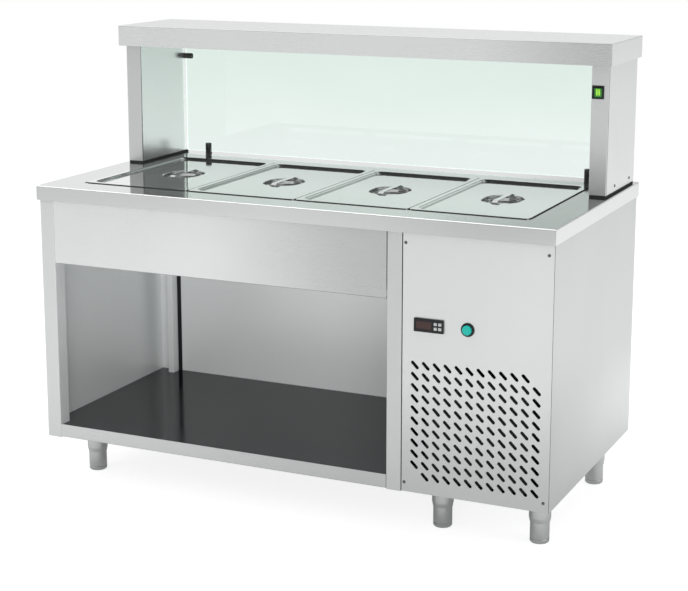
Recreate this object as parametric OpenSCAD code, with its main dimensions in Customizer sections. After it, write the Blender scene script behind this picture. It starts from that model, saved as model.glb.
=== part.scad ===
// Refrigerated serving counter: a cold well for a row of full-size food pans, an
// overhead shelf with a lamp and a glass screen, an open storage bay and a cooling
// compartment. X runs along the counter, the customers stand at +Y, the floor is Z = 0
// and the origin is under the middle of the worktop.

/* [Worktop] */
// Width of the worktop, left to right
top_w = 1500; // [1450:10:2100]
// Depth of the worktop, front to back
top_d = 760; // [755:5:1000]
// Height of the worktop above the floor
top_h = 860; // [800:5:1100]
// Height of the folded edge round the worktop
top_edge = 40; // [30:1:55]
// Radius of the bend along the worktop's upper edges
top_bend = 3; // [2:0.5:6]
// Thickness of the steel sheet of the worktop, shelf and cabinet
sheet = 1.5; // [1.2:0.1:1.6]

/* [Pans and well] */
// Width of one pan place along the counter
pan_pitch = 325; // [300:5:340]
// Length of a pan, front to back
pan_len = 530; // [400:5:540]
// Depth of a pan below its rim
pan_depth = 150; // [65:5:200]
// Width of the flat rim round a pan
pan_rim = 12.5; // [10:0.5:16]
// Thickness of the pan and lid sheet
pan_sheet = 1; // [0.8:0.1:1.5]
// Height of the turned-down edge of a pan's rim
pan_skirt = 8; // [5:0.5:10]
// Gap between neighbouring pans
pan_gap = 1.5; // [1:0.1:4]
// Gap between the pans and the edge of the worktop's cut-out
well_gap = 4; // [2:0.5:8]
// Width of the ledge that carries the pans
ledge_w = 13; // [9:0.5:13.5]
// Depth of the ledge below the worktop
ledge_drop = 8; // [5:0.5:12]
// Strip of worktop in front of the well
front_strip = 91; // [80:1:120]
// Clear height under the pans in the well
under_pan = 27; // [20:1:60]
// Thickness of the well's sheet
tub_sheet = 1.2; // [1:0.1:2]
// Thickness of the foam round the well
foam_t = 30; // [20:1:40]
// Diameter of the cooling tube round the well
coil_d = 8; // [6:1:12]

/* [Lids] */
// How far the middle of a lid lies below its rim
lid_step = 6; // [2:0.5:8]
// Width of the finger dish in a lid, along the counter
dish_w = 105; // [90:1:130]
// Length of the finger dish, front to back
dish_l = 130; // [115:1:150]
// Depth of the finger dish below the middle of the lid
dish_drop = 12; // [10:1:20]
// Width of the strap handle
strap_w = 15; // [10:1:24]
// Thickness of the strap handle
strap_t = 2.5; // [1.5:0.5:4]
// Height of the strap's top above the middle of the lid
strap_rise = 6; // [4:1:12]

/* [Cabinet] */
// How far the sides stand in from the worktop's ends
side_inset = 5; // [2:1:30]
// How far the front stands in from the worktop's edge
front_inset = 10; // [10:1:30]
// How far the back stands in from the worktop's edge
rear_inset = 5; // [2:1:12]
// Height of the cabinet's lower edge above the floor
leg_h = 135; // [115:1:200]
// Width of the post at the left of the bay
post_w = 44; // [30:1:70]
// Depth of the posts' folds behind their faces
post_fold = 45; // [30:1:46]
// Width of the post between the bay and the service panel
divider_w = 41.5; // [30:0.5:70]
// Width of the service panel
service_w = 399; // [385:1:480]
// Drop of the apron below the worktop's upper face
apron_drop = 217; // [214:1:260]
// Height of the front rail under the bay
rail_h = 37; // [30:1:60]
// Height of the square tubes of the bottom frame
frame_t = 17; // [15:1:30]
// Thickness of the bay's floor board
board_t = 20; // [15:1:25]
// Depth of the storage bay
bay_depth = 632; // [550:1:640]
// Width of the gaps between the front panels
seam = 1.2; // [0.8:0.1:3]

/* [Legs] */
// Distance of the outer leg axes from the cabinet's sides
leg_side = 68; // [60:1:120]
// Distance of the front leg axes from the cabinet's front
leg_front = 147; // [120:1:200]
// Distance of the rear leg axes from the cabinet's back
leg_rear = 104; // [75:1:160]
// Distance of the middle leg axes from the cabinet's right side
leg_mid = 338; // [300:1:390]
// Diameter of the fixed leg sockets
socket_d = 58; // [56:1:62]
// Diameter of the adjustable feet
foot_d = 51; // [40:1:51]
// Height of the foot that shows below its socket
foot_show = 57; // [40:1:60]
// Length of the foot inside its socket
foot_grip = 48; // [40:1:50]

/* [Overhead shelf] */
// Total height of the counter
total_h = 1270; // [1200:5:1500]
// Depth of the overhead shelf
shelf_d = 300; // [290:5:400]
// Height of the overhead shelf
shelf_h = 59; // [45:1:80]
// Distance of the shelf's back from the worktop's rear edge
shelf_rear = 19; // [10:1:30]
// Width of a column
col_w = 48; // [44:1:60]
// Depth of a column
col_d = 276; // [240:1:280]
// Distance of a column from the worktop's end
col_side = 12; // [6:1:14]
// Height of the seal under a column
gasket_t = 6; // [2:1:10]
// Thickness of the glass screen
glass_t = 6; // [5:1:10]
// Distance of the glass from the worktop's rear edge
glass_rear = 35; // [32:1:40]
// Height of the glass above the worktop
glass_lift = 6; // [4:1:15]
// Gap between the glass and the columns
glass_side = 5; // [3:1:15]
// Distance of a glass pin from the columns' inner faces
pin_side = 80; // [40:5:200]
// Diameter of the glass pins
pin_d = 20; // [16:1:24]
// Height of the glass pins
pin_h = 32; // [20:1:50]
// Diameter of the upper glass clamps
clamp_d = 17.5; // [15:0.5:24]
// Length of the upper glass clamps
clamp_l = 28; // [20:1:40]
// Distance of the clamps below the shelf
clamp_drop = 51; // [20:1:100]
// Diameter of the lamp tube
lamp_d = 26; // [16:1:30]
// Length of the lamp tube
lamp_l = 1200; // [600:10:1212]

/* [Grille] */
// Number of columns of slots
slot_cols = 12; // [6:1:12]
// Number of rows of slots
slot_rows = 11; // [5:1:12]
// Distance between slots, both ways
slot_pitch = 29.5; // [27:0.5:30]
// Length of a slot
slot_l = 27; // [20:1:32]
// Width of a slot
slot_w = 9; // [5:0.5:10]
// Height of the lowest row of slots above the cabinet's lower edge
slot_low = 48; // [40:1:60]

/* [Controls] */
// Height of the controls' centre above the cabinet's lower edge
ctrl_h = 450.5; // [430:0.5:480]
// Distance of the controller's centre from the service panel's left edge
ctrl_left = 75; // [60:1:90]
// Distance of the push button's centre from the service panel's left edge
button_left = 178.5; // [160:0.5:240]
// Travel of the push button
button_travel = 3; // [2:0.5:4]
// Travel of a key
key_travel = 1; // [0.5:0.1:1.2]
// Height of the rocker switch's centre below the shelf
switch_drop = 71; // [40:1:120]
// Tilt of the rocker each way
rocker_tilt = 7; // [4:1:8]

/* [Cooling unit] */
// Diameter of the compressor's pot
comp_d = 150; // [120:1:160]
// Height of the compressor's pot
comp_h = 174; // [140:1:200]
// Diameter of the fan
fan_d = 230; // [180:1:240]
// Diameter of the fan's shaft
shaft_d = 8; // [6:1:12]

/* [Hidden] */
$fn = 48;
pan_count = 4;
eps = 0.5;
fit = 0.05;

// Plain colours of the materials
steel = [0.80, 0.81, 0.82];
steel_dark = [0.55, 0.57, 0.58];
black = [0.10, 0.10, 0.11];
zinc = [0.70, 0.72, 0.74];
copper = [0.72, 0.45, 0.30];

// Worktop and cabinet
top_under = top_h - sheet;
body_l = -top_w / 2 + side_inset;
body_r = top_w / 2 - side_inset;
body_f = -top_d / 2 + front_inset;
body_b = top_d / 2 - rear_inset;
frame_top = leg_h + frame_t;
floor_top = frame_top + board_t;
service_l = body_r - service_w;
divider_l = service_l - divider_w;
bay_l = body_l + post_w;
bay_back = body_f + bay_depth;
apron_z = top_h - apron_drop;
post_back = body_f + post_fold;
flange_y = body_f + 13.5;
flange_w = 20;

// Well and pans
cut_w = pan_count * pan_pitch + 2 * well_gap;
cut_d = pan_len + 2 * well_gap;
cut_r = 14;
pan_cy = -top_d / 2 + front_strip + cut_d / 2;
ledge_z = top_h - ledge_drop;
rim_z = ledge_z + pan_skirt + pan_sheet;
pan_floor = rim_z - pan_depth;
tub_w = cut_w - 2 * ledge_w;
tub_d = cut_d - 2 * ledge_w;
tub_r = 22;
tub_floor = pan_floor - under_pan;
rim_w = pan_pitch - pan_gap;
bowl_w = pan_pitch - 2 * pan_rim;
bowl_l = pan_len - 2 * pan_rim;
bowl_r = 28;
coil_r = coil_d / 2;
coil_gap = 0.3;
elbow = 1.3;
coil_off = tub_sheet + coil_r + coil_gap;
foam_off = tub_sheet + coil_d + 1;
foam_top = ledge_z - tub_sheet;
foam_low = tub_floor - tub_sheet - foam_t;
case_t = 1;
case_low = foam_low - case_t;
function pan_x(i) = (i - (pan_count - 1) / 2) * pan_pitch;

// Drain
drain_x = (service_l + tub_w / 2) / 2 - 13.5;
drain_y = pan_cy + 220;
spigot_r = 13;
drain_r = 9;
spigot_low = case_low - 20;
valve_top = spigot_low + 8;
valve_z = spigot_low - 28;
outlet_z = valve_z - 85;
stem_r = 4;

// Lids
lid_gap = 1;
lid_z = rim_z + pan_sheet;
lid_mid = lid_z - lid_step;
lid_w = rim_w - 2 * lid_gap + 1;
lid_l = pan_len - 2 * lid_gap;

// Overhead
shelf_z = total_h - shelf_h;
shelf_b = top_d / 2 - shelf_rear;
shelf_f = shelf_b - shelf_d;
col_out = top_w / 2 - col_side;
col_in = col_out - col_w;
col_b = shelf_b;
col_f = col_b - col_d;
col_low = top_h + gasket_t;
glass_y = top_d / 2 - glass_rear;
glass_x = col_in - glass_side;
glass_low = top_h + glass_lift;
pin_x = col_in - pin_side;
clamp_z = shelf_z - clamp_drop;
lamp_y = (shelf_f + shelf_b) / 2 - 10;
lamp_z = total_h - sheet - lamp_d / 2 - 12;
screw_z = top_h + 21;
screw_ys = [col_f + 83, col_b - 49];

// Controls
ctrl_z = leg_h + ctrl_h;
ctrl_x = service_l + ctrl_left;
ctrl_w = 80;
ctrl_hh = 35;
ctrl_t = 6;
ctrl_body_w = 71;
ctrl_body_h = 29;
ctrl_body_l = 60;
key_w = 9;
key_hh = 8;
key_dx = 12;
key_dz = 12;
key_x0 = ctrl_x + 19;
button_x = service_l + button_left;
button_r = 12.5;
ring_r = 18;
ring_t = 5;
barrel_r = 11;
stem_button_r = 6;
switch_x = col_in + 18.25;
switch_z = shelf_z - switch_drop;
switch_w = 32.5;
switch_h = 35.5;
switch_t = 3;
cell_w = 22;
cell_h = 26.8;
rocker_w = 21;
pivot_in = 5;
trunnion_r = 1.5;

// Legs, front to back
foot_r = foot_d / 2;
legs_x = [body_l + leg_side, body_r - leg_mid, body_r - leg_side];
legs_y = [body_f + leg_front, body_b - leg_rear];
LEGS = [for (x = legs_x) for (y = legs_y) [x, y]];

// Cooling unit
base_top = frame_top + sheet;
unit_x = service_l + service_w / 2;
cond_w = 280;
cond_y = body_f + 25;
cond_d = 45;
cond_z = base_top + 16;
cond_h = 280;
shroud_y = cond_y + cond_d;
fan_y = shroud_y + 16;
fan_l = 20;
fan_z = cond_z + cond_h / 2;
motor_y = fan_y + fan_l + 12;
motor_l = 55;
motor_r = 38;
comp_x = service_l + 246;
comp_y = 80;
mount_h = 20;
plate_z = base_top + mount_h;
comp_z = plate_z + 3;
comp_top = comp_z + comp_h;
pipe_z = max(comp_top, cond_z + cond_h) + 40;
riser_x = tub_w / 2 + coil_off;
riser_f = pan_cy - 100;
riser_b = comp_y;
gland_x = service_l + 214;
gland_y = 290;
screw_r = 2;
head_r = 4.2;

// A block between two opposite corners
module block(a, b) {
    translate(a) cube(b - a);
}

// A flat rectangle with round corners, centred
module round_rect(w, d, r) {
    square([w - 2 * r, d], center = true);
    square([w, d - 2 * r], center = true);
    for (x = [-1, 1]) for (y = [-1, 1])
        translate([x * (w / 2 - r), y * (d / 2 - r)]) circle(r);
}

// A slab with round corners between two heights
module slab(w, d, z0, z1, r) {
    translate([0, 0, z0]) linear_extrude(z1 - z0) round_rect(w, d, r);
}

// The outline of a panel's section, with both upper corners bent
module bent_outline(w, h, r) {
    translate([-w / 2, 0]) square([w, h - r]);
    translate([-w / 2 + r, 0]) square([w - 2 * r, h]);
    for (s = [-1, 1]) translate([s * (w / 2 - r), h - r]) circle(r);
}

// A solid box with a bend along each upper edge, standing on Z = 0
module bent_box(w, d, h, r) {
    intersection() {
        translate([-w / 2, 0, 0]) rotate([90, 0, 90]) linear_extrude(w) bent_outline(d, h, r);
        translate([0, d / 2, 0]) rotate([90, 0, 0]) linear_extrude(d) bent_outline(w, h, r);
    }
}

// A folded cover of sheet, open below
module bent_cover(w, d, h, r) {
    difference() {
        bent_box(w, d, h, r);
        translate([0, 0, -sheet]) bent_box(w - 2 * sheet, d - 2 * sheet, h, max(r - sheet, 0.5));
    }
}

// A cylinder along Y from y0 to y1
module rod_y(x, z, y0, y1, r) {
    translate([x, y0, z]) rotate([-90, 0, 0]) cylinder(h = y1 - y0, r = r);
}

// A cylinder along X from x0 to x1
module rod_x(y, z, x0, x1, r) {
    translate([x0, y, z]) rotate([0, 90, 0]) cylinder(h = x1 - x0, r = r);
}

// A straight pipe between two points that differ along one axis
module straight(a, b, r) {
    if (abs(b[0] - a[0]) > 0) rod_x(a[1], a[2], min(a[0], b[0]), max(a[0], b[0]), r);
    if (abs(b[1] - a[1]) > 0) rod_y(a[0], a[2], min(a[1], b[1]), max(a[1], b[1]), r);
    if (abs(b[2] - a[2]) > 0)
        translate([a[0], a[1], min(a[2], b[2])]) cylinder(h = abs(b[2] - a[2]), r = r);
}

// A pipe through a list of points, with a round brazed elbow at each bend
module pipe(points, r) {
    for (i = [1 : len(points) - 1]) straight(points[i - 1], points[i], r);
    for (i = [1 : len(points) - 2]) translate(points[i]) sphere(r * elbow);
}

// Worktop: one folded sheet with a cut-out for the well
module worktop() {
    color(steel) difference() {
        translate([0, 0, top_h - top_edge]) bent_cover(top_w, top_d, top_edge, top_bend);
        translate([0, pan_cy, 0]) slab(cut_w, cut_d, top_under - eps, top_h + eps, cut_r);
    }
}

// Well: the tub with its recessed ledge and drain spigot
module well_tub() {
    color(steel) translate([0, pan_cy, 0]) difference() {
        union() {
            slab(tub_w + 2 * tub_sheet, tub_d + 2 * tub_sheet,
                 tub_floor - tub_sheet, ledge_z, tub_r + tub_sheet);
            slab(cut_w + 2 * tub_sheet, cut_d + 2 * tub_sheet,
                 ledge_z - tub_sheet, top_under, cut_r + tub_sheet);
            translate([drain_x, drain_y - pan_cy, spigot_low])
                cylinder(h = tub_floor - spigot_low, r = spigot_r);
        }
        slab(tub_w, tub_d, tub_floor, ledge_z + eps, tub_r);
        slab(cut_w, cut_d, ledge_z, top_under + eps, cut_r);
        translate([drain_x, drain_y - pan_cy, spigot_low - eps])
            cylinder(h = tub_floor - spigot_low + 2 * eps, r = drain_r);
    }
}

// The clear ways down through the foam and the casing
module well_ways() {
    translate([drain_x, drain_y, case_low - eps])
        cylinder(h = foam_t + 3 * case_t + 2 * eps, r = spigot_r + 0.5);
    for (y = [riser_f, riser_b]) translate([riser_x, y, case_low - eps])
        cylinder(h = foam_t + 3 * case_t + 2 * eps, r = coil_r + 0.2);
}

// Foam round and under the tub, with room for the cooling tube
module well_insulation() {
    o = foam_off + foam_t;
    color([0.93, 0.88, 0.70]) difference() {
        translate([0, pan_cy, 0]) difference() {
            slab(tub_w + 2 * o, tub_d + 2 * o, foam_low, foam_top, tub_r + o);
            slab(tub_w + 2 * foam_off, tub_d + 2 * foam_off,
                 tub_floor - tub_sheet, foam_top + eps, tub_r + foam_off);
        }
        well_ways();
    }
}

// Casing: a plain tray of zinc-coated sheet round the foam
module well_casing() {
    o = foam_off + foam_t;
    color(zinc) difference() {
        translate([0, pan_cy, 0]) difference() {
            slab(tub_w + 2 * (o + case_t), tub_d + 2 * (o + case_t),
                 case_low, foam_top, tub_r + o + case_t);
            slab(tub_w + 2 * o, tub_d + 2 * o, foam_low, foam_top + eps, tub_r + o);
        }
        well_ways();
    }
}

// Divider bars: channels across the well under the joints between pans
module divider_bars() {
    bar_w = 22;
    bar_h = 14;
    color(steel) for (i = [0 : pan_count - 2]) {
        x = (pan_x(i) + pan_x(i + 1)) / 2;
        difference() {
            block([x - bar_w / 2, pan_cy - tub_d / 2, ledge_z - bar_h],
                  [x + bar_w / 2, pan_cy + tub_d / 2, ledge_z - coil_gap]);
            block([x - bar_w / 2 + tub_sheet, pan_cy - tub_d / 2 - eps, ledge_z - bar_h - eps],
                  [x + bar_w / 2 - tub_sheet, pan_cy + tub_d / 2 + eps,
                   ledge_z - coil_gap - tub_sheet]);
        }
    }
}

// One turn of cooling tube round the tub
module coil_turn(z) {
    a = tub_w / 2 + coil_off;
    b = tub_d / 2 + coil_off;
    r = tub_r + coil_off;
    for (s = [-1, 1]) {
        rod_x(pan_cy + s * b, z, -a + r, a - r, coil_r);
        rod_y(s * a, z, pan_cy - b + r, pan_cy + b - r, coil_r);
    }
    for (q = [[1, 1, 0], [-1, 1, 90], [-1, -1, 180], [1, -1, 270]])
        translate([q[0] * (a - r), pan_cy + q[1] * (b - r), z]) rotate([0, 0, q[2]])
            rotate_extrude(angle = 90) translate([r, 0]) circle(coil_r);
}

// Cooling tube: turns round the tub, two risers, the drier and the lines of the unit
module evaporator_coil() {
    turns = 5;
    low = tub_floor + 14;
    rise = (foam_top - low - 14) / (turns - 1);
    top = low + rise * (turns - 1);
    thin = coil_r - 0.6;
    drier_r = 11;
    cond_top = cond_z + cond_h;
    cond_mid = cond_y + cond_d / 2;
    liquid_x = unit_x + cond_w / 2 - 20;
    liquid_z = pipe_z + 60;
    hot_z = pipe_z + 30;
    near = riser_x > comp_x ? 30 : -30;
    color(copper) {
        for (i = [0 : turns - 1]) coil_turn(low + i * rise);
        pipe([[riser_x, riser_f, top], [riser_x, riser_f, liquid_z], [liquid_x, riser_f, liquid_z],
              [liquid_x, cond_mid, liquid_z], [liquid_x, cond_mid, cond_top]], thin);
        rod_y(liquid_x, liquid_z, riser_f - 130, riser_f - 30, drier_r);
        pipe([[riser_x, riser_b, top], [riser_x, riser_b, pipe_z], [comp_x + near, riser_b, pipe_z],
              [comp_x + near, riser_b, comp_top]], thin);
        pipe([[comp_x - near, comp_y, comp_top], [comp_x - near, comp_y, hot_z],
              [comp_x - near, cond_mid, hot_z], [comp_x - near, cond_mid, cond_top]], thin);
    }
}

// Drain valve: a brass body on the spigot, with a boss for the stem and a hose tail
module drain_valve() {
    color([0.76, 0.63, 0.35]) difference() {
        union() {
            translate([drain_x, drain_y, valve_z - 25])
                cylinder(h = valve_top - valve_z + 25, r = spigot_r + 4);
            translate([drain_x, drain_y, outlet_z])
                cylinder(h = valve_z - 25 - outlet_z, r = drain_r + 2.5);
            rod_y(drain_x, valve_z, drain_y - 30, drain_y, 9);
        }
        translate([drain_x, drain_y, spigot_low]) cylinder(h = 20, r = spigot_r);
        translate([drain_x, drain_y, outlet_z - eps]) cylinder(h = 200, r = drain_r);
        rod_y(drain_x, valve_z, drain_y - 30 - eps, drain_y, stem_r + fit);
    }
}

// Lever of the drain valve, closed: its arm lies across the pipe
module drain_lever() {
    face = drain_y - 30 - 0.3;
    arm = 85;
    color([0.75, 0.12, 0.10]) union() {
        rod_y(drain_x, valve_z, face - 8, face, 10);
        rod_y(drain_x, valve_z, face - 8, drain_y - 12, stem_r);
        block([drain_x, face - 8, valve_z - 6], [drain_x + arm, face - 4, valve_z + 6]);
        rod_y(drain_x + arm, valve_z, face - 8, face - 4, 6);
    }
}

// Pan: a deep bowl with a flat rim and a turned-down edge
module pan(i) {
    color(steel) translate([pan_x(i), pan_cy, 0]) difference() {
        union() {
            slab(rim_w, pan_len, ledge_z, rim_z, 12);
            slab(bowl_w, bowl_l, pan_floor, rim_z - eps, bowl_r);
        }
        difference() {
            slab(rim_w - 2 * pan_sheet, pan_len - 2 * pan_sheet,
                 ledge_z - eps, rim_z - pan_sheet, 12 - pan_sheet);
            slab(bowl_w, bowl_l, pan_floor - eps, rim_z, bowl_r);
        }
        slab(bowl_w - 2 * pan_sheet, bowl_l - 2 * pan_sheet,
             pan_floor + pan_sheet, rim_z + eps, bowl_r - pan_sheet);
    }
}

// Lid: a flat rim, a lowered middle, a finger dish and a strap welded across it
module lid(i) {
    step_w = bowl_w - 2 * pan_sheet - 2;
    step_l = bowl_l - 2 * pan_sheet - 2;
    strap_top = lid_mid + strap_rise;
    strap_half = dish_l / 2 + 8;
    color(steel) translate([pan_x(i), pan_cy, 0]) union() {
        difference() {
            union() {
                slab(lid_w, lid_l, rim_z, lid_z, 12);
                slab(step_w, step_l, lid_mid - pan_sheet, lid_z, bowl_r - 2);
                slab(dish_w + 2 * pan_sheet, dish_l + 2 * pan_sheet,
                     lid_mid - dish_drop - pan_sheet, lid_z, dish_w / 2 - 2);
            }
            slab(step_w - 2 * pan_sheet, step_l - 2 * pan_sheet,
                 lid_mid, lid_z + eps, bowl_r - 2 - pan_sheet);
            slab(dish_w, dish_l, lid_mid - dish_drop, lid_z + eps, dish_w / 2 - 3);
        }
        difference() {
            block([-strap_w / 2, -strap_half, lid_mid], [strap_w / 2, strap_half, strap_top]);
            block([-strap_w, -dish_l / 2 + 2, lid_mid - eps],
                  [strap_w, dish_l / 2 - 2, strap_top - strap_t]);
        }
    }
}

// Left side: one sheet folded round the front into a post
module left_side_panel() {
    color(steel) union() {
        block([body_l, body_f, leg_h], [body_l + sheet, body_b, top_under]);
        block([body_l, body_f, leg_h], [bay_l, body_f + sheet, top_under]);
        block([bay_l - sheet, body_f, leg_h], [bay_l, post_back, top_under]);
        block([bay_l - 16, post_back - sheet, leg_h], [bay_l, post_back, top_under]);
    }
}

// Right side: one sheet with a flange for the service panel
module right_side_panel() {
    color(steel) difference() {
        union() {
            block([body_r - sheet, body_f + sheet, leg_h], [body_r, body_b, top_under]);
            block([body_r - flange_w, flange_y, leg_h + 2],
                  [body_r - sheet / 2, flange_y + sheet, top_under]);
        }
        panel_screw_holes();
    }
}

// Rear panel with outlet slots behind the compressor
module rear_panel() {
    vents = 9;
    vent_w = 220;
    color(steel) difference() {
        block([body_l + sheet, body_b - sheet, leg_h + 2], [body_r - sheet, body_b, top_under]);
        for (i = [0 : vents - 1])
            block([unit_x - vent_w / 2, body_b - sheet - eps, cond_z + 30 + i * 24],
                  [unit_x + vent_w / 2, body_b + eps, cond_z + 36 + i * 24]);
    }
}

// Back wall of the storage bay
module bay_back_panel() {
    color(steel) block([body_l + sheet, bay_back, frame_top], [divider_l, bay_back + sheet, case_low]);
}

// Apron in front of the well, with a folded lower edge
module apron() {
    color(steel) union() {
        block([bay_l + seam / 2, body_f, apron_z], [divider_l - seam, body_f + sheet, top_under]);
        block([bay_l + seam / 2, body_f, apron_z], [divider_l - seam, body_f + 20, apron_z + sheet]);
    }
}

// The hollow insides of the bottom frame's tubes, or their outsides when grown by 0
module frame_tubes(wall) {
    long_l = body_l + sheet;
    long_r = body_r - sheet;
    over = wall > 0 ? eps : 0;
    for (y = [post_back + sheet, body_b - sheet - 40])
        block([long_l - over, y + wall, leg_h + wall],
              [long_r + over, y + 40 - wall, frame_top - wall]);
    for (x = legs_x)
        block([x - 30 + wall, post_back + sheet + 30, leg_h + wall],
              [x + 30 - wall, body_b - sheet - 30, frame_top - wall]);
}

// Bottom frame: two long tubes, three cross tubes and the front rail
module bottom_frame() {
    rail_z = leg_h + 2;
    color(steel) union() {
        difference() {
            frame_tubes(0);
            frame_tubes(2);
        }
        block([bay_l, body_f, rail_z], [divider_l, body_f + sheet, rail_z + rail_h]);
        block([bay_l, body_f, rail_z], [divider_l, post_back + sheet, rail_z + sheet]);
    }
}

// Floor board of the bay, notched round the left post
module bay_floor() {
    color(black) difference() {
        block([body_l + sheet, body_f + sheet, frame_top], [divider_l, bay_back, floor_top]);
        block([body_l, body_f, frame_top - eps], [bay_l, post_back, floor_top + eps]);
    }
}

// Divider: the wall beside the bay, folded at the front into a post
module divider_wall() {
    color(steel) difference() {
        union() {
            block([divider_l, body_f, leg_h], [service_l, body_f + sheet, top_under]);
            block([divider_l, body_f, leg_h], [divider_l + sheet, post_back, top_under]);
            block([service_l - sheet, body_f, leg_h], [service_l, post_back - 5, top_under]);
            block([service_l - sheet / 2, flange_y, leg_h + 2],
                  [service_l + flange_w, flange_y + sheet, top_under]);
            block([divider_l, post_back - sheet, frame_top], [divider_l + sheet, body_b - sheet, case_low]);
        }
        panel_screw_holes();
    }
}

// Rear corner posts of the bay, standing on its floor
module bay_rear_posts() {
    w = 20;
    d = 39;
    inset = 43.5;
    color(steel) for (x = [body_l + sheet + inset, divider_l - inset - w]) difference() {
        block([x, bay_back - d, floor_top], [x + w, bay_back, case_low]);
        block([x + sheet, bay_back - d + sheet, floor_top - eps],
              [x + w - sheet, bay_back + eps, case_low + eps]);
    }
}

// Floor plate of the cooling compartment
module technical_base() {
    color(zinc) difference() {
        union() {
            block([divider_l + sheet, post_back + sheet, frame_top],
                  [service_l, body_b - sheet, base_top]);
            block([service_l, flange_y + sheet, frame_top],
                  [body_r - sheet, body_b - sheet, base_top]);
        }
        translate([drain_x, drain_y, frame_top - eps]) cylinder(h = sheet + 2 * eps, r = 16);
        translate([gland_x, gland_y, frame_top - eps]) cylinder(h = sheet + 2 * eps, r = 10.2);
    }
}

// Holes for the service panel's screws
module panel_screw_holes() {
    for (s = panel_screws) rod_y(s[0], s[1], body_f - eps, flange_y + sheet + eps, screw_r + 0.1);
}
panel_screws = [
    for (x = [service_l + 10, body_r - 14])
        for (z = [leg_h + 27, top_h - 67]) [x, z]
];

// One slanted slot with round ends, through the panel
module slot(x, z) {
    half = (slot_l - slot_w) / 2;
    translate([x, body_f + sheet + eps, z]) rotate([90, 45, 0])
        linear_extrude(sheet + 2 * eps) {
            square([2 * half, slot_w], center = true);
            for (s = [-1, 1]) translate([s * half, 0]) circle(slot_w / 2, $fn = 16);
        }
}

// Service panel: a shallow tray with the inlet slots and the holes for the controls
module service_panel() {
    left = service_l + seam;
    low = leg_h + 2;
    high = top_h - top_edge - 2;
    lip = sheet + 0.1;
    first_x = unit_x - (slot_cols - 1) / 2 * slot_pitch;
    color(steel) difference() {
        union() {
            block([left, body_f, low], [body_r, body_f + sheet, high]);
            difference() {
                block([left + lip, body_f, low + lip], [body_r - lip, flange_y, high - lip]);
                block([left + lip + sheet, body_f + sheet, low + lip + sheet],
                      [body_r - lip - sheet, flange_y + eps, high - lip - sheet]);
            }
        }
        for (r = [0 : slot_rows - 1]) for (c = [0 : slot_cols - 1])
            if (!(r == slot_rows - 1 && c == slot_cols - 1) && !(r == 0 && c == 0))
                slot(first_x + c * slot_pitch, leg_h + slot_low + r * slot_pitch);
        panel_screw_holes();
        block([ctrl_x - ctrl_body_w / 2, body_f - eps, ctrl_z - ctrl_body_h / 2],
              [ctrl_x + ctrl_body_w / 2, body_f + sheet + eps, ctrl_z + ctrl_body_h / 2]);
        rod_y(button_x, ctrl_z, body_f - eps, body_f + sheet + eps, barrel_r);
    }
}

// Screws of the service panel and of the columns
module cover_screws() {
    color(zinc) {
        for (s = panel_screws) union() {
            rod_y(s[0], s[1], body_f - 1.6, body_f, head_r);
            rod_y(s[0], s[1], body_f - 0.5, flange_y + sheet + 4, screw_r);
        }
        for (s = [-1, 1]) for (y = screw_ys) union() {
            rod_x(y, screw_z, s > 0 ? col_out : -col_out - 1.6, s > 0 ? col_out + 1.6 : -col_out, head_r);
            rod_x(y, screw_z, s > 0 ? col_out - 12 : -col_out - 0.5, s > 0 ? col_out + 0.5 : -col_out + 12,
                  screw_r);
        }
    }
}

// Fixed leg sockets under the bottom frame
module leg_sockets() {
    taper = 12;
    color(steel) for (p = LEGS) translate([p[0], p[1], 0]) difference() {
        union() {
            translate([0, 0, foot_show]) cylinder(h = taper, r1 = foot_r + 1, r2 = socket_d / 2);
            translate([0, 0, foot_show + taper])
                cylinder(h = leg_h - foot_show - taper, r = socket_d / 2);
        }
        translate([0, 0, foot_show - eps]) cylinder(h = foot_grip + 0.3 + eps, r = foot_r + fit);
    }
}

// Adjustable foot: a closed tube that screws down out of its socket
module foot(i) {
    top = foot_show + foot_grip;
    chamfer = 3;
    color(steel) translate([LEGS[i][0], LEGS[i][1], 0]) rotate_extrude()
        polygon([[0, 0], [foot_r - chamfer, 0], [foot_r, chamfer], [foot_r, top], [0, top]]);
}

// A column of the overhead shelf: a box of folded sheet with a seam at its inner corner
module column(s) {
    mid = s * (col_in + col_out) / 2;
    seam_d = 0.9;
    color(steel) difference() {
        block([mid - col_w / 2, col_f, col_low], [mid + col_w / 2, col_b, shelf_z]);
        block([mid - col_w / 2 + sheet, col_f + sheet, col_low - eps],
              [mid + col_w / 2 - sheet, col_b - sheet, shelf_z + eps]);
        for (x = [col_in, col_out])
            block([s * x - seam_d, col_f + 2, col_low - eps],
                  [s * x + seam_d, col_f + 4.5, shelf_z + eps]);
        for (y = screw_ys) rod_x(y, screw_z, s * (col_out - sheet / 2) - 2, s * (col_out - sheet / 2) + 2,
                                 screw_r + 0.1);
        if (s > 0) block([switch_x - cell_w / 2 - 2.5, col_f - eps, switch_z - cell_h / 2 - 1.5],
                         [switch_x + cell_w / 2 + 2.5, col_f + sheet + eps, switch_z + cell_h / 2 + 1.5]);
    }
}

// Seals between the columns and the worktop
module column_gaskets() {
    inset = 1.5;
    wall = 8;
    color(black) for (s = [-1, 1]) translate([s * (col_in + col_out) / 2, (col_f + col_b) / 2, top_h])
        difference() {
            translate([-col_w / 2 + inset, -col_d / 2 + inset, 0])
                cube([col_w - 2 * inset, col_d - 2 * inset, gasket_t]);
            translate([-col_w / 2 + wall, -col_d / 2 + wall, -eps])
                cube([col_w - 2 * wall, col_d - 2 * wall, gasket_t + 2 * eps]);
        }
}

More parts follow.
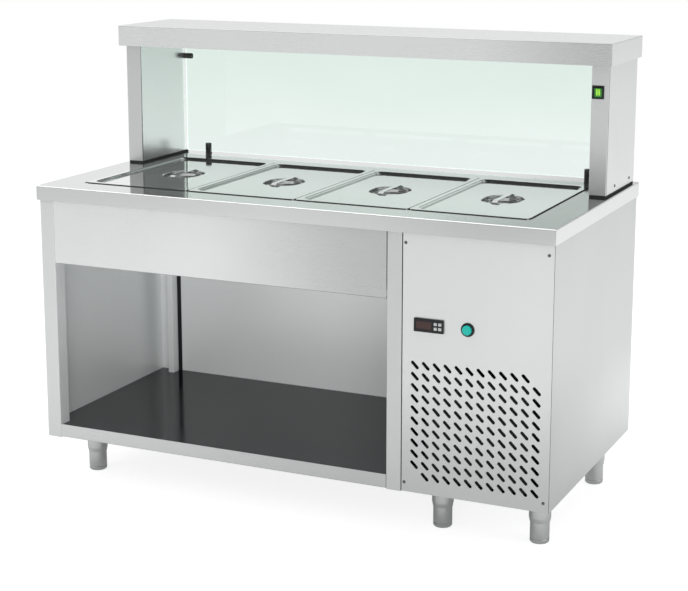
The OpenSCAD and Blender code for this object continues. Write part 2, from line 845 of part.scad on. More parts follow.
// Overhead shelf: a folded cover with closed ends over the columns
module overhead_shelf() {
    end_w = col_side + col_w + 10;
    color(steel) union() {
        translate([0, (shelf_f + shelf_b) / 2, shelf_z]) bent_cover(top_w, shelf_d, shelf_h, 2.5);
        for (s = [-1, 1]) {
            mid = s * (top_w / 2 - end_w / 2);
            block([mid - end_w / 2 + sheet / 2, shelf_f + sheet / 2, shelf_z],
                  [mid + end_w / 2 - sheet / 2, shelf_b - sheet / 2, shelf_z + sheet]);
        }
        block([-top_w / 2 + sheet, shelf_f + sheet / 2, shelf_z],
              [top_w / 2 - sheet, shelf_f + 18, shelf_z + sheet]);
    }
}

// Lamp tube inside the shelf
module lamp_tube() {
    color([0.97, 0.97, 0.94]) rod_x(lamp_y, lamp_z, -lamp_l / 2, lamp_l / 2, lamp_d / 2);
}

// Lamp holders, hung from the shelf's top sheet
module lamp_holders() {
    color([0.92, 0.92, 0.90]) for (s = [-1, 1]) {
        mid = s * (lamp_l / 2 + 12);
        block([mid - 12, lamp_y - 17, lamp_z - 17], [mid + 12, lamp_y + 17, total_h - sheet]);
    }
}

// Glass screen on the customers' side
module glass_screen() {
    color([0.85, 0.95, 0.92, 0.4])
        block([-glass_x, glass_y - glass_t / 2, glass_low],
              [glass_x, glass_y + glass_t / 2, shelf_z - 0.5]);
}

// The room that the glass takes in a pin or a clamp
module glass_room(low) {
    block([-glass_x - 0.3, glass_y - glass_t / 2 - 0.2, low],
          [glass_x + 0.3, glass_y + glass_t / 2 + 0.2, shelf_z]);
}

// Lower glass pins, standing on the worktop
module glass_pins() {
    color(black) for (s = [-1, 1]) difference() {
        translate([s * pin_x, glass_y, top_h]) cylinder(h = pin_h, r = pin_d / 2);
        glass_room(glass_low);
    }
}

// Upper glass clamps on the columns' inner faces
module glass_clamps() {
    color(black) for (s = [-1, 1]) difference() {
        rod_x(glass_y, clamp_z, s > 0 ? col_in - clamp_l : -col_in,
              s > 0 ? col_in : -col_in + clamp_l, clamp_d / 2);
        glass_room(glass_low);
    }
}

// Rocker switch: its bezel and the cell behind it
module switch_bezel() {
    back = col_f + 20;
    color(black) difference() {
        union() {
            block([switch_x - switch_w / 2, col_f - switch_t, switch_z - switch_h / 2],
                  [switch_x + switch_w / 2, col_f, switch_z + switch_h / 2]);
            block([switch_x - cell_w / 2 - 2.5, col_f - eps, switch_z - cell_h / 2 - 1.5],
                  [switch_x + cell_w / 2 + 2.5, back, switch_z + cell_h / 2 + 1.5]);
        }
        block([switch_x - cell_w / 2, col_f - switch_t - eps, switch_z - cell_h / 2],
              [switch_x + cell_w / 2, back - 2, switch_z + cell_h / 2]);
        rod_x(col_f + pivot_in, switch_z, switch_x - cell_w / 2 - 2, switch_x + cell_w / 2 + 2,
              trunnion_r + fit);
    }
}

// Rocker, switched on: its lower half is pressed in
module switch_rocker() {
    color([0.35, 0.85, 0.25]) translate([switch_x, col_f + pivot_in, switch_z])
        rotate([rocker_tilt, 0, 0]) union() {
            translate([rocker_w / 2, 0, 0]) rotate([90, 0, -90]) linear_extrude(rocker_w)
                polygon([[-5, -8], [9, -11.8], [10.5, -11.8], [8.6, 0], [10.5, 11.8], [9, 11.8], [-5, 8]]);
            rod_x(0, 0, -cell_w / 2 - 1.5, cell_w / 2 + 1.5, trunnion_r);
        }
}

// The room of one key in the controller, or the key itself when shrunk
module key_block(i, front, back, shrink) {
    x = key_x0 + (i % 2) * key_dx;
    z = ctrl_z + (i < 2 ? 1 : -1) * key_dz / 2;
    block([x - key_w / 2 + shrink, front, z - key_hh / 2 + shrink],
          [x + key_w / 2 - shrink, back, z + key_hh / 2 - shrink]);
}

// Controller: its frame, the body behind the panel, a display recess and key pockets
module controller() {
    front = body_f - ctrl_t;
    color(black) difference() {
        union() {
            block([ctrl_x - ctrl_w / 2, front, ctrl_z - ctrl_hh / 2],
                  [ctrl_x + ctrl_w / 2, body_f, ctrl_z + ctrl_hh / 2]);
            block([ctrl_x - ctrl_body_w / 2, body_f - eps, ctrl_z - ctrl_body_h / 2],
                  [ctrl_x + ctrl_body_w / 2, body_f + ctrl_body_l, ctrl_z + ctrl_body_h / 2]);
        }
        block([ctrl_x - ctrl_w / 2 + 6, front - eps, ctrl_z - 10],
              [ctrl_x + 8, front + 1.2, ctrl_z + 10]);
        for (i = [0 : 3]) key_block(i, front - eps, front + 3.5, 0);
    }
}

// One key, standing proud of the controller's frame
module key(i) {
    front = body_f - ctrl_t;
    color([0.85, 0.86, 0.87]) key_block(i, front - key_travel, front + 3.3 - key_travel, 0.2);
}

// Ring and barrel of the push button
module button_ring() {
    color(black) difference() {
        union() {
            rod_y(button_x, ctrl_z, body_f - ring_t, body_f, ring_r);
            rod_y(button_x, ctrl_z, body_f - eps, body_f + 40, barrel_r);
        }
        rod_y(button_x, ctrl_z, body_f - ring_t - eps, body_f - eps, button_r + 0.2);
        rod_y(button_x, ctrl_z, body_f - 2 * eps, body_f + 36, stem_button_r + fit);
    }
}

// Push button: a round cap on a stem
module push_button() {
    cap_back = body_f - eps - button_travel - 0.3;
    color([0.0, 0.62, 0.58]) union() {
        rod_y(button_x, ctrl_z, body_f - 9.6, cap_back, button_r);
        rod_y(button_x, ctrl_z, cap_back - eps, body_f + 30, stem_button_r);
    }
}

// The holes and seats of the compressor's four feet
comp_feet = [for (x = [-1, 1]) for (y = [-1, 1]) [comp_x + x * 68, comp_y + y * 58]];

// Compressor: a hermetic pot on a foot plate, with two pipe stubs
module compressor() {
    edge = 28;
    r = comp_d / 2;
    color(black) difference() {
        union() {
            translate([comp_x, comp_y, comp_z - 1]) rotate_extrude() {
                square([r - edge, comp_h + 1]);
                translate([0, edge]) square([r, comp_h + 1 - 2 * edge]);
                for (z = [edge, comp_h + 1 - edge]) translate([r - edge, z]) intersection() {
                    circle(edge);
                    translate([0, -edge]) square([edge, 2 * edge]);
                }
            }
            block([comp_x - 85, comp_y - 75, plate_z], [comp_x + 85, comp_y + 75, comp_z]);
        }
        for (p = comp_feet) translate([p[0], p[1], plate_z - eps]) cylinder(h = 4 + eps, r = 5);
    }
}

// Rubber mounts of the compressor
module compressor_mounts() {
    color(black) for (p = comp_feet) translate([p[0], p[1], 0]) union() {
        translate([0, 0, base_top]) cylinder(h = mount_h, r = 11);
        translate([0, 0, plate_z - eps]) cylinder(h = 3 + 2 * eps, r = 4.9);
        translate([0, 0, comp_z]) cylinder(h = 4, r = 8);
    }
}

// Condenser: a finned block, its return bends and the shroud behind it
module condenser() {
    x0 = unit_x - cond_w / 2;
    x1 = unit_x + cond_w / 2;
    bends = 6;
    step = cond_h / bends;
    color(steel_dark) difference() {
        union() {
            block([x0, cond_y, cond_z], [x1, shroud_y, cond_z + cond_h]);
            block([x0 - 2, cond_y, base_top], [x0, shroud_y + 14, cond_z + cond_h]);
            block([x1, cond_y, base_top], [x1 + 2, shroud_y + 14, cond_z + cond_h]);
            block([x0, shroud_y - 1, base_top], [x1, shroud_y + sheet, cond_z + cond_h]);
            for (i = [0 : bends - 1]) for (s = [x0 - 2, x1 + 2])
                translate([s, cond_y + cond_d / 2, cond_z + (i + 0.5) * step]) rotate([90, 0, 0])
                    rotate_extrude() translate([step / 4, 0]) circle(coil_r);
        }
        rod_y(unit_x, fan_z, shroud_y - 1, shroud_y + sheet + eps, fan_d / 2 + 4);
    }
}

// Fan: a hub with a shaft and five pitched blades
module fan() {
    blades = 5;
    hub_r = 30;
    color(steel_dark) translate([unit_x, fan_y, fan_z]) rotate([-90, 0, 0]) union() {
        cylinder(h = fan_l, r = hub_r);
        cylinder(h = motor_y - fan_y + 20, r = shaft_d / 2);
        intersection() {
            difference() {
                cylinder(h = fan_l, r = fan_d / 2);
                translate([0, 0, -eps]) cylinder(h = fan_l + 2 * eps, r = hub_r - 2);
            }
            for (i = [0 : blades - 1]) rotate([0, 0, i * 360 / blades])
                translate([fan_d / 4, 0, fan_l / 2]) rotate([18, 0, 0])
                    cube([fan_d / 2, 62, 1.5], center = true);
        }
    }
}

// Fan motor on its pedestal
module fan_motor() {
    color(steel_dark) difference() {
        union() {
            rod_y(unit_x, fan_z, motor_y, motor_y + motor_l, motor_r);
            block([unit_x - 22, motor_y + 12, base_top], [unit_x + 22, motor_y + 42, fan_z - 20]);
            block([unit_x - 45, motor_y + 5, base_top], [unit_x + 45, motor_y + 50, base_top + 3]);
        }
        rod_y(unit_x, fan_z, motor_y - eps, motor_y + 24, shaft_d / 2 + fit);
    }
}

// Electrical box on the right side, a hollow case with its cover
module electrical_box() {
    wall = 2;
    box_w = 150;
    box_h = 110;
    x1 = body_r - sheet;
    x0 = x1 - 75;
    y0 = 170;
    z0 = min(pipe_z + 25, case_low - box_h - 10);
    color([0.82, 0.82, 0.80]) {
        difference() {
            block([x0, y0, z0], [x1, y0 + box_w, z0 + box_h]);
            block([x0 - eps, y0 + wall, z0 + wall],
                  [x1 - wall, y0 + box_w - wall, z0 + box_h - wall]);
        }
        block([x0 - 3, y0 - 1, z0 - 1], [x0, y0 + box_w + 1, z0 + box_h + 1]);
    }
}

// Cable gland through the compartment's floor: a flange, a neck and a clamping nut
module cable_gland() {
    color(black) translate([gland_x, gland_y, 0]) difference() {
        union() {
            translate([0, 0, base_top]) cylinder(h = 6, r = 14, $fn = 6);
            translate([0, 0, leg_h - 8]) cylinder(h = base_top - leg_h + 8 + eps, r = 10);
            translate([0, 0, leg_h - 20]) cylinder(h = 18, r = 13, $fn = 6);
        }
        translate([0, 0, leg_h - 20 - eps]) cylinder(h = 60, r = 5);
    }
}

worktop();
well_tub();
well_insulation();
well_casing();
divider_bars();
evaporator_coil();
drain_valve();
drain_lever();
pan(0);  // pan_1
pan(1);  // pan_2
pan(2);  // pan_3
pan(3);  // pan_4
lid(0);  // lid_1
lid(1);  // lid_2
lid(2);  // lid_3
lid(3);  // lid_4
left_side_panel();
right_side_panel();
rear_panel();
bay_back_panel();
apron();
bottom_frame();
bay_floor();
divider_wall();
bay_rear_posts();
technical_base();
service_panel();
cover_screws();
leg_sockets();
foot(0);  // foot_1
foot(1);  // foot_2
foot(2);  // foot_3
foot(3);  // foot_4
foot(4);  // foot_5
foot(5);  // foot_6
column(-1);  // column_left
column(1);  // column_right
column_gaskets();
overhead_shelf();
lamp_tube();
lamp_holders();
glass_screen();
glass_pins();
glass_clamps();
switch_bezel();
switch_rocker();
controller();
key(0);  // key_1
key(1);  // key_2
key(2);  // key_3
key(3);  // key_4
button_ring();
push_button();
compressor();
compressor_mounts();
condenser();
fan();
fan_motor();
electrical_box();
cable_gland();
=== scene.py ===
import math

import bmesh
import bpy
from mathutils import Matrix, Vector


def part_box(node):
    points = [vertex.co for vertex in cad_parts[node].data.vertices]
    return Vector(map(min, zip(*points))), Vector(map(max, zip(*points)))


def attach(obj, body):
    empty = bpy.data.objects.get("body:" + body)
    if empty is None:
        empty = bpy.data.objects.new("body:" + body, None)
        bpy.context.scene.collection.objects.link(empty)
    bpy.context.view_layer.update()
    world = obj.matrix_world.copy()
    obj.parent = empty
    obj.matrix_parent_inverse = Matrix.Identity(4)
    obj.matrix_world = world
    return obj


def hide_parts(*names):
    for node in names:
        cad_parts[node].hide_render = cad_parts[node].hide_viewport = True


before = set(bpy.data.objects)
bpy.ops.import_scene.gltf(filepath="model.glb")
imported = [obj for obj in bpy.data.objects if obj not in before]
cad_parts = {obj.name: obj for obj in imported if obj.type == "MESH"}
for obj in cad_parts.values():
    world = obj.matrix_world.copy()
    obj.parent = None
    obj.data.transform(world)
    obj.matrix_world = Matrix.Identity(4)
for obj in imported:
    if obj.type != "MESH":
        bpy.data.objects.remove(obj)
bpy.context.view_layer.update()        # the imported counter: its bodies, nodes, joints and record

mm = 0.001

# ---- Studio ----
# A wide pale floor in white surroundings, lit by five soft boxes: high and low in front,
# overhead, at the right and behind. The camera stands in front to the right, at eye height.
scene = bpy.context.scene
scene.view_settings.view_transform = "Standard"


class Wire:
    """One output of a node, written in sums like a number."""

    def __init__(self, tree, socket):
        self.tree = tree
        self.socket = socket

    def node(self, kind, settings=None, inputs=None, output=0):
        made = self.tree.nodes.new(kind)
        for name, value in (settings or {}).items():
            setattr(made, name, value)
        for name, value in (inputs or {}).items():
            if isinstance(value, Wire):
                self.tree.links.new(value.socket, made.inputs[name])
            else:
                made.inputs[name].default_value = value
        return Wire(self.tree, made.outputs[output])

    def maths(self, operation, *others):
        return self.node("ShaderNodeMath", {"operation": operation},
                         dict(enumerate((self, *others))))

    def __add__(self, other):
        return self.maths("ADD", other)

    __radd__ = __add__

    def __sub__(self, other):
        return self.maths("SUBTRACT", other)

    def __rsub__(self, other):
        return self.node("ShaderNodeMath", {"operation": "SUBTRACT"}, {0: other, 1: self})

    def __mul__(self, other):
        return self.maths("MULTIPLY", other)

    __rmul__ = __mul__

    def size(self):
        return self.maths("ABSOLUTE")

    def part(self, axis):
        """One coordinate: 0, 1 or 2 for X, Y or Z."""
        return self.node("ShaderNodeSeparateXYZ", {}, {0: self}, axis)

    def clamped(self, low, high):
        """0 below low, 1 above high, and smooth between them."""
        return self.node("ShaderNodeMapRange", {"interpolation_type": "SMOOTHSTEP"},
                         {"Value": self, "From Min": low, "From Max": high})

    def stretched(self, x, y, z):
        return self.node("ShaderNodeVectorMath", {"operation": "MULTIPLY"},
                         {0: self, 1: (x, y, z)})

    def noise(self, scale, detail=2.0, roughness=0.5):
        return self.node("ShaderNodeTexNoise", {}, {
            "Vector": self, "Scale": scale, "Detail": detail, "Roughness": roughness})

    def tint(self, dark, light):
        """A colour between two, by this value."""
        dark, light = (c if isinstance(c, Wire) else (*c, 1.0) for c in (dark, light))
        return self.node("ShaderNodeMix", {"data_type": "RGBA"},
                         {"Factor": self, 6: dark, 7: light}, 2)

    def bump(self, strength, distance):
        return self.node("ShaderNodeBump", {},
                         {"Height": self, "Strength": strength, "Distance": distance})


def new_finish(name):
    """A material and its object coordinates."""
    material = bpy.data.materials.new(name)
    material.use_nodes = True
    tree = material.node_tree
    place = tree.nodes.new("ShaderNodeTexCoord")
    return material, Wire(tree, place.outputs["Object"])


def dress(material, sockets):
    """Sets or links the sockets of a material's shader."""
    tree = material.node_tree
    shader = tree.nodes["Principled BSDF"]
    for name, value in sockets.items():
        if isinstance(value, Wire):
            tree.links.new(value.socket, shader.inputs[name])
        else:
            shader.inputs[name].default_value = value
    return material


def seen_how(tree):
    """1 or 0 for what is seen directly or through glass, and for what is seen in a mirror."""
    rays = tree.nodes.new("ShaderNodeLightPath")
    seen, glossy, through, depth = (Wire(tree, rays.outputs[name]) for name in (
        "Is Camera Ray", "Is Glossy Ray", "Is Transmission Ray", "Glossy Depth"))
    mirrored = glossy.maths("MAXIMUM", depth).maths("MINIMUM", 1.0)
    return seen.maths("MAXIMUM", through) * (1.0 - mirrored), mirrored


def pale_floor():
    material, place = new_finish("pale_floor")
    tree = material.node_tree
    plainly, mirrored = seen_how(tree)
    # In mirrors the floor is dim below the counter, a painted shadow, and lightest behind it.
    flat = place.stretched(0.55, 1.0, 0.0)
    away = flat.node("ShaderNodeVectorMath", {"operation": "LENGTH"}, {0: flat}, 1)
    behind = place.part(1).clamped(-0.6, 1.6)
    mirrored = mirrored * (0.32 + 0.68 * away.clamped(0.25, 1.5)) * (1.0 + 1.1 * behind)
    dress(material, {
        "Base Color": (0.35, 0.35, 0.35, 1.0), "Roughness": 0.9, "Specular IOR Level": 0.0,
        "Emission Color": (0.83 * plainly + 0.4 * mirrored).tint((0.0, 0.0, 0.0), (1.0, 1.0, 1.0)),
        "Emission Strength": 1.0})
    return material


def placed(name, data):
    """A new object in the scene, at the origin."""
    made = bpy.data.objects.new(name, data)
    scene.collection.objects.link(made)
    return made


floor_half = 14.0
floor_mesh = bpy.data.meshes.new("floor")
floor_mesh.from_pydata([(x * floor_half, y * floor_half, 0)
                        for x, y in ((-1, -1), (1, -1), (1, 1), (-1, 1))], [], [(0, 1, 2, 3)])
floor_mesh.materials.append(pale_floor())
placed("floor", floor_mesh)

world = bpy.data.worlds.new("studio")
scene.world = world
world.use_nodes = True
sky = world.node_tree
direction = Wire(sky, sky.nodes.new("ShaderNodeTexCoord").outputs["Generated"])
east, north, up = (direction.part(axis) for axis in range(3))
# In reflections a lit wall stands behind and to the left, a soft light hangs overhead, the
# far side is dim, and the floor carries on beyond its edge.
towards_wall = (east * -0.71 + north * 0.71).clamped(0.4, 0.66)
wall_height = 1.0 - up.clamped(0.42, 0.62)
above = 0.1 + 0.9 * (towards_wall * wall_height) + 0.85 * up.clamped(0.5, 0.72)
horizon = up.clamped(-0.02, 0.09)
room = 0.78 * (1.0 - horizon) + above * horizon
plainly, mirrored = seen_how(sky)
fill_light = 0.5
level = plainly + mirrored * room + (1.0 - plainly - mirrored) * fill_light
background = sky.nodes["Background"]
background.inputs["Color"].default_value = (1.0, 1.0, 1.0, 1.0)
sky.links.new(level.socket, background.inputs["Strength"])


def soft_box(name, place, aim, width, height, watts):
    lamp = bpy.data.lights.new(name, "AREA")
    lamp.shape = "RECTANGLE"
    lamp.size = width
    lamp.size_y = height
    lamp.energy = watts
    holder = placed(name, lamp)
    holder.location = place
    holder.rotation_euler = (Vector(aim) - Vector(place)).to_track_quat("-Z", "Y").to_euler()
    holder.visible_glossy = False
    holder.visible_transmission = False


soft_box("front_soft_box", (-2.6, -3.6, 3.0), (0.0, 0.0, 0.6), 3.0, 2.2, 65)
soft_box("top_soft_box", (0.2, -0.6, 3.9), (0.0, 0.0, 0.8), 3.6, 2.4, 56)
soft_box("right_soft_box", (4.2, 0.2, 2.4), (0.3, 0.0, 0.6), 2.6, 2.0, 45)
soft_box("low_soft_box", (1.6, -4.4, 0.9), (-0.3, 0.0, 0.4), 2.6, 1.2, 112)
soft_box("back_soft_box", (-0.8, 4.2, 2.6), (0.0, 0.0, 0.7), 3.4, 2.0, 60)

camera_data = bpy.data.cameras.new("camera")
camera = placed("camera", camera_data)
camera.location = (1.9256, -4.1343, 1.6379)
turn, tilt = math.radians(24.815), math.radians(-11.641)
aim = Vector((-math.sin(turn) * math.cos(tilt), math.cos(turn) * math.cos(tilt), math.sin(tilt)))
camera.rotation_mode = "QUATERNION"
camera.rotation_quaternion = aim.to_track_quat("-Z", "Y")
camera_data.lens = 86.92
camera_data.sensor_width = 36.0
camera_data.shift_y = -0.08
scene.camera = camera

# ---- Legs ----
# Each of the six legs is a stainless socket screwed to the bottom frame, with a chamfered
# tube foot that screws down out of it. Both are turned and polished round.


def raw_mesh(name, points, faces):
    """An object of plain mesh, with its faces turned outwards."""
    mesh = bpy.data.meshes.new(name)
    mesh.from_pydata(points, [], faces)
    shape = bmesh.new()
    shape.from_mesh(mesh)
    bmesh.ops.remove_doubles(shape, verts=shape.verts, dist=1e-6)
    bmesh.ops.recalc_face_normals(shape, faces=shape.faces)
    shape.to_mesh(mesh)
    shape.free()
    return placed(name, mesh)


def spot_on(axis, along, u, v):
    """A point by its place along an axis and its two places across it."""
    return {"X": (along, u, v), "Y": (u, along, v), "Z": (u, v, along)}[axis]


def lathe(name, profile, centre, axis="Z", steps=48):
    """A solid turned from (radius, height) points, which start and end on the axis."""
    points, faces = [], []
    for k in range(steps):
        angle = 2 * math.pi * k / steps
        for radius, height in profile:
            spot = spot_on(axis, height, radius * math.cos(angle), radius * math.sin(angle))
            points.append(tuple(c + s for c, s in zip(centre, spot)))
    count = len(profile)
    for k in range(steps):
        here, there = k * count, ((k + 1) % steps) * count
        for i in range(count - 1):
            faces.append((here + i, there + i, there + i + 1, here + i + 1))
    return raw_mesh(name, points, faces)


def joined(name, shapes):
    """Several plain meshes as one object."""
    shape = bmesh.new()
    for each in shapes:
        shape.from_mesh(each.data)
        bpy.data.objects.remove(each)
    mesh = bpy.data.meshes.new(name)
    shape.to_mesh(mesh)
    shape.free()
    return placed(name, mesh)


def baked(thing):
    """Turns what an object's modifiers make into its plain mesh."""
    bpy.context.view_layer.update()
    shown = thing.evaluated_get(bpy.context.evaluated_depsgraph_get())
    mesh = bpy.data.meshes.new_from_object(shown)
    thing.modifiers.clear()
    old = thing.data
    thing.data = mesh
    bpy.data.meshes.remove(old)
    return thing


def modified(thing, kind, **settings):
    """Runs one modifier on an object for good."""
    modifier = thing.modifiers.new(kind.lower(), kind)
    for name, value in settings.items():
        setattr(modifier, name, value)
    return baked(thing)


def finished(thing, material, nodes=(), body="counter", sharp=32):
    """Smooths a piece, paints it and puts it on its body in place of its CAD nodes."""
    thing.data.shade_smooth()
    thing.data.set_sharp_from_angle(angle=math.radians(sharp))
    modified(thing, "WEIGHTED_NORMAL", keep_sharp=True, weight=80)
    thing.data.materials.clear()
    thing.data.materials.append(material)
    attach(thing, body)
    if nodes:
        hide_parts(*nodes)


def brushed_steel(name, grain, tone=0.76, roughness=0.28, metallic=0.82, painted_shade=None):
    """Stainless sheet with its grinding marks along one axis: 0, 1 or 2 for X, Y or Z.
    The last argument is (axis, from, to, share): a painted shade that darkens the colour between
    the two places by that share."""
    material, place = new_finish(name)
    fine, coarse = [1500.0] * 3, [170.0] * 3
    fine[grain], coarse[grain] = 14.0, 1.7
    marks = place.stretched(*fine).noise(1.0, 3.0, 0.6)
    streaks = place.stretched(*coarse).noise(1.0, 3.0, 0.55)
    cloud = place.noise(2.6, 3.0, 0.5)
    smudge = place.noise(9.0, 4.0, 0.6).clamped(0.55, 0.8)
    amount = 0.08 * streaks + 0.92 * cloud
    dark = 0.96
    # Painted shade: the colour darkens along one axis.
    if painted_shade:
        axis, start, end, share = painted_shade
        amount = amount * 0.3 + 0.7 * (1.0 - place.part(axis).clamped(start, end))
        dark = 1.0 - share
    shade = amount.tint([tone * dark * hue for hue in (0.98, 1.0, 1.0)],
                        [tone * 1.03 * hue for hue in (0.98, 1.0, 0.995)])
    gloss = roughness + 0.04 * (marks - 0.5) + 0.012 * (streaks - 0.5)
    gloss = gloss + 0.03 * (cloud - 0.5) + 0.03 * smudge
    return dress(material, {
        "Base Color": shade, "Metallic": metallic, "Roughness": gloss,
        "Normal": marks.bump(0.025, 0.0001)})


foot_lo, foot_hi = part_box("foot_1")
socket_lo, socket_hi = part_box("leg_sockets")
foot_r = (foot_hi.x - foot_lo.x) / 2
socket_r = 29 * mm
groove_z = 11 * mm
leg_steel = brushed_steel("turned_steel", 2, 0.78, 0.12, 0.98)
foot_profile = [
    (0, 0), (foot_r - 4.5 * mm, 0), (foot_r - 3 * mm, 0.4 * mm), (foot_r - 0.8 * mm, 2.6 * mm),
    (foot_r, 4.2 * mm), (foot_r, groove_z), (foot_r - 0.7 * mm, groove_z + 0.7 * mm),
    (foot_r - 0.7 * mm, groove_z + 1.6 * mm), (foot_r, groove_z + 2.3 * mm),
    (foot_r, foot_hi.z - 0.6 * mm), (foot_r - 0.6 * mm, foot_hi.z), (0, foot_hi.z)]
grip_top = foot_hi.z + 0.3 * mm
bore = foot_r + 0.1 * mm
socket_profile = [
    (0, grip_top), (bore, grip_top), (bore, socket_lo.z + 0.8 * mm),
    (bore + 0.7 * mm, socket_lo.z), (foot_r + 1 * mm, socket_lo.z),
    (foot_r + 1.4 * mm, socket_lo.z + 1.6 * mm),
    (socket_r - 0.5 * mm, socket_lo.z + 10.4 * mm), (socket_r, socket_lo.z + 13 * mm),
    (socket_r, socket_hi.z), (0, socket_hi.z)]
legs = []
for k in range(1, 7):
    lo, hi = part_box(f"foot_{k}")
    legs.append(((lo.x + hi.x) / 2, (lo.y + hi.y) / 2, 0))
    foot = lathe(f"tube_foot_{k}", foot_profile, legs[-1])
    finished(foot, leg_steel, [f"foot_{k}"], f"foot_{k}")
sockets = joined("sockets", [lathe("socket", socket_profile, spot) for spot in legs])
finished(sockets, leg_steel, ["leg_sockets"])

# ---- Bottom frame ----
# A welded frame of flat stainless tube carries the cabinet, with a folded rail across the
# front of the storage bay. The legs' sockets are screwed to it from below.
sheet = 1.5 * mm
bend = 2.6 * mm


def bent_path(corners, radius, thickness, side, steps=6):
    """Points and left-hand normals along a folded line, with a bend at each inner corner.
    side is 1 where the sheet's thickness lies to the left of the line, and -1 to the right."""
    line = [Vector(c) for c in corners]
    path = []
    for k, corner in enumerate(line):
        ahead = line[min(k + 1, len(line) - 1)] - corner
        behind = corner - line[max(k - 1, 0)]
        if k in (0, len(line) - 1):
            along = (ahead if k == 0 else behind).normalized()
            path.append((corner, Vector((-along.y, along.x))))
            continue
        a, b = behind.normalized(), ahead.normalized()
        left = a.x * b.y - a.y * b.x > 0
        r = radius if left == (side > 0) else max(radius - thickness, 0.3 * mm)
        half = a.angle(b) / 2
        reach = r * math.tan(half)
        first = Vector((-a.y, a.x))
        centre = corner - a * reach + first * (r if left else -r)
        for i in range(steps + 1):
            turn_by = 2 * half * i / steps * (1 if left else -1)
            normal = Matrix.Rotation(turn_by, 2) @ first
            path.append((centre - normal * (r if left else -r), normal))
    return path


def folded_sheet(name, corners, axis, start, end, side, thickness=sheet, radius=bend):
    """A sheet folded along a line of corners and cut off at start and end of its axis."""
    path = bent_path(corners, radius, thickness, side)
    points, faces = [], []
    for point, normal in path:
        inner = point + normal * (thickness * side)
        for along in (start, end):
            points.append(spot_on(axis, along, *point))
            points.append(spot_on(axis, along, *inner))
    for k in range(len(path) - 1):
        a, b = 4 * k, 4 * k + 4
        faces += [(a, b, b + 2, a + 2), (a + 1, a + 3, b + 3, b + 1),
                  (a, a + 1, b + 1, b), (a + 2, b + 2, b + 3, a + 3)]
    last = 4 * (len(path) - 1)
    faces += [(0, 2, 3, 1), (last, last + 1, last + 3, last + 2)]
    return modified(raw_mesh(name, points, faces), "BEVEL",
                    width=0.25 * mm, segments=1, angle_limit=math.radians(50))


def ring(width, depth, radius, steps=5):
    """A rectangle with round corners, centred, as a closed list of points."""
    points = []
    for sx, sy, first in ((1, 1, 0), (-1, 1, 90), (-1, -1, 180), (1, -1, 270)):
        cx, cy = sx * (width / 2 - radius), sy * (depth / 2 - radius)
        for k in range(steps + 1):
            angle = math.radians(first + 90 * k / steps)
            points.append((cx + radius * math.cos(angle), cy + radius * math.sin(angle)))
    return points


def box_tube(name, axis, start, end, centre, width, height, wall=2 * mm):
    """A length of rectangular tube with round edges, open at its ends."""
    outer = ring(width, height, 2.5 * mm, 4)
    inner = ring(width - 2 * wall, height - 2 * wall, 0.8 * mm, 4)
    points, faces = [], []
    for along in (start, end):
        for loop in (outer, inner):
            points += [spot_on(axis, along, centre[0] + u, centre[1] + v) for u, v in loop]
    n = len(outer)
    for k in range(n):
        j = (k + 1) % n
        faces += [(k, j, 2 * n + j, 2 * n + k), (n + k, 3 * n + k, 3 * n + j, n + j),
                  (k, n + k, n + j, j), (2 * n + k, 2 * n + j, 3 * n + j, 3 * n + k)]
    return raw_mesh(name, points, faces)


(body_l, front, cabinet_low), (bay_l, back, under_top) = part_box("left_side_panel")
body_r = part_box("right_side_panel")[1].x
divider_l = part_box("divider_wall")[0].x
frame_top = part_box("bay_floor")[0].z
rail_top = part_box("bottom_frame")[1].z
service_l = divider_l + 41.5 * mm
post_back = front + 45 * mm
long_tube_w, cross_tube_w = 40 * mm, 60 * mm
tube_y = (post_back + sheet + long_tube_w / 2, back - sheet - long_tube_w / 2)
tube_z = (cabinet_low + frame_top) / 2
tube_h = frame_top - cabinet_low
rail_low = cabinet_low + 2 * mm
frame_parts = [
    box_tube("tube", "X", body_l + sheet, body_r - sheet, (y, tube_z), long_tube_w, tube_h)
    for y in tube_y]
frame_parts += [
    box_tube("tube", "Y", tube_y[0] + long_tube_w / 2, tube_y[1] - long_tube_w / 2,
             (x, tube_z), cross_tube_w, tube_h)
    for x in sorted({round(spot[0], 5) for spot in legs})]
frame_parts.append(folded_sheet(
    "rail", [(post_back + sheet, rail_low), (front, rail_low), (front, rail_top)],
    "X", bay_l, divider_l, -1))
steel_x = brushed_steel("steel_grain_along", 0, 0.74)
# The rail's colour darkens towards its right end, a painted shade.
rail_steel = brushed_steel("rail_steel", 0, 0.76, painted_shade=(0, -0.5, 0.4, 0.26))
finished(joined("frame_tubes_and_rail", frame_parts), rail_steel, ["bottom_frame"])

# ---- Floor plate and bay floor ----
# A zinc-coated plate floors the cooling compartment. The storage bay has a board faced with
# black laminate, notched round the left post.


def zinc_coat():
    material, place = new_finish("zinc_sheet")
    flakes = place.node("ShaderNodeTexVoronoi", {}, {"Vector": place, "Scale": 85.0}, "Color")
    grey = flakes.node("ShaderNodeSeparateColor", {}, {0: flakes})
    haze = place.noise(14.0, 4.0)
    return dress(material, {
        "Base Color": (0.6 * grey + 0.4 * haze).tint((0.50, 0.52, 0.54), (0.68, 0.70, 0.72)),
        "Metallic": 0.9, "Roughness": 0.38 + 0.16 * grey + 0.1 * (haze - 0.5),
        "Normal": grey.bump(0.08, 0.0002)})


def paint_nodes(material, *nodes):
    """Gives a material to CAD nodes that keep their own shape."""
    for node in nodes:
        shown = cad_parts[node]
        shown.data.materials.clear()
        shown.data.materials.append(material)


zinc_sheet = zinc_coat()
paint_nodes(zinc_sheet, "technical_base", "well_casing")


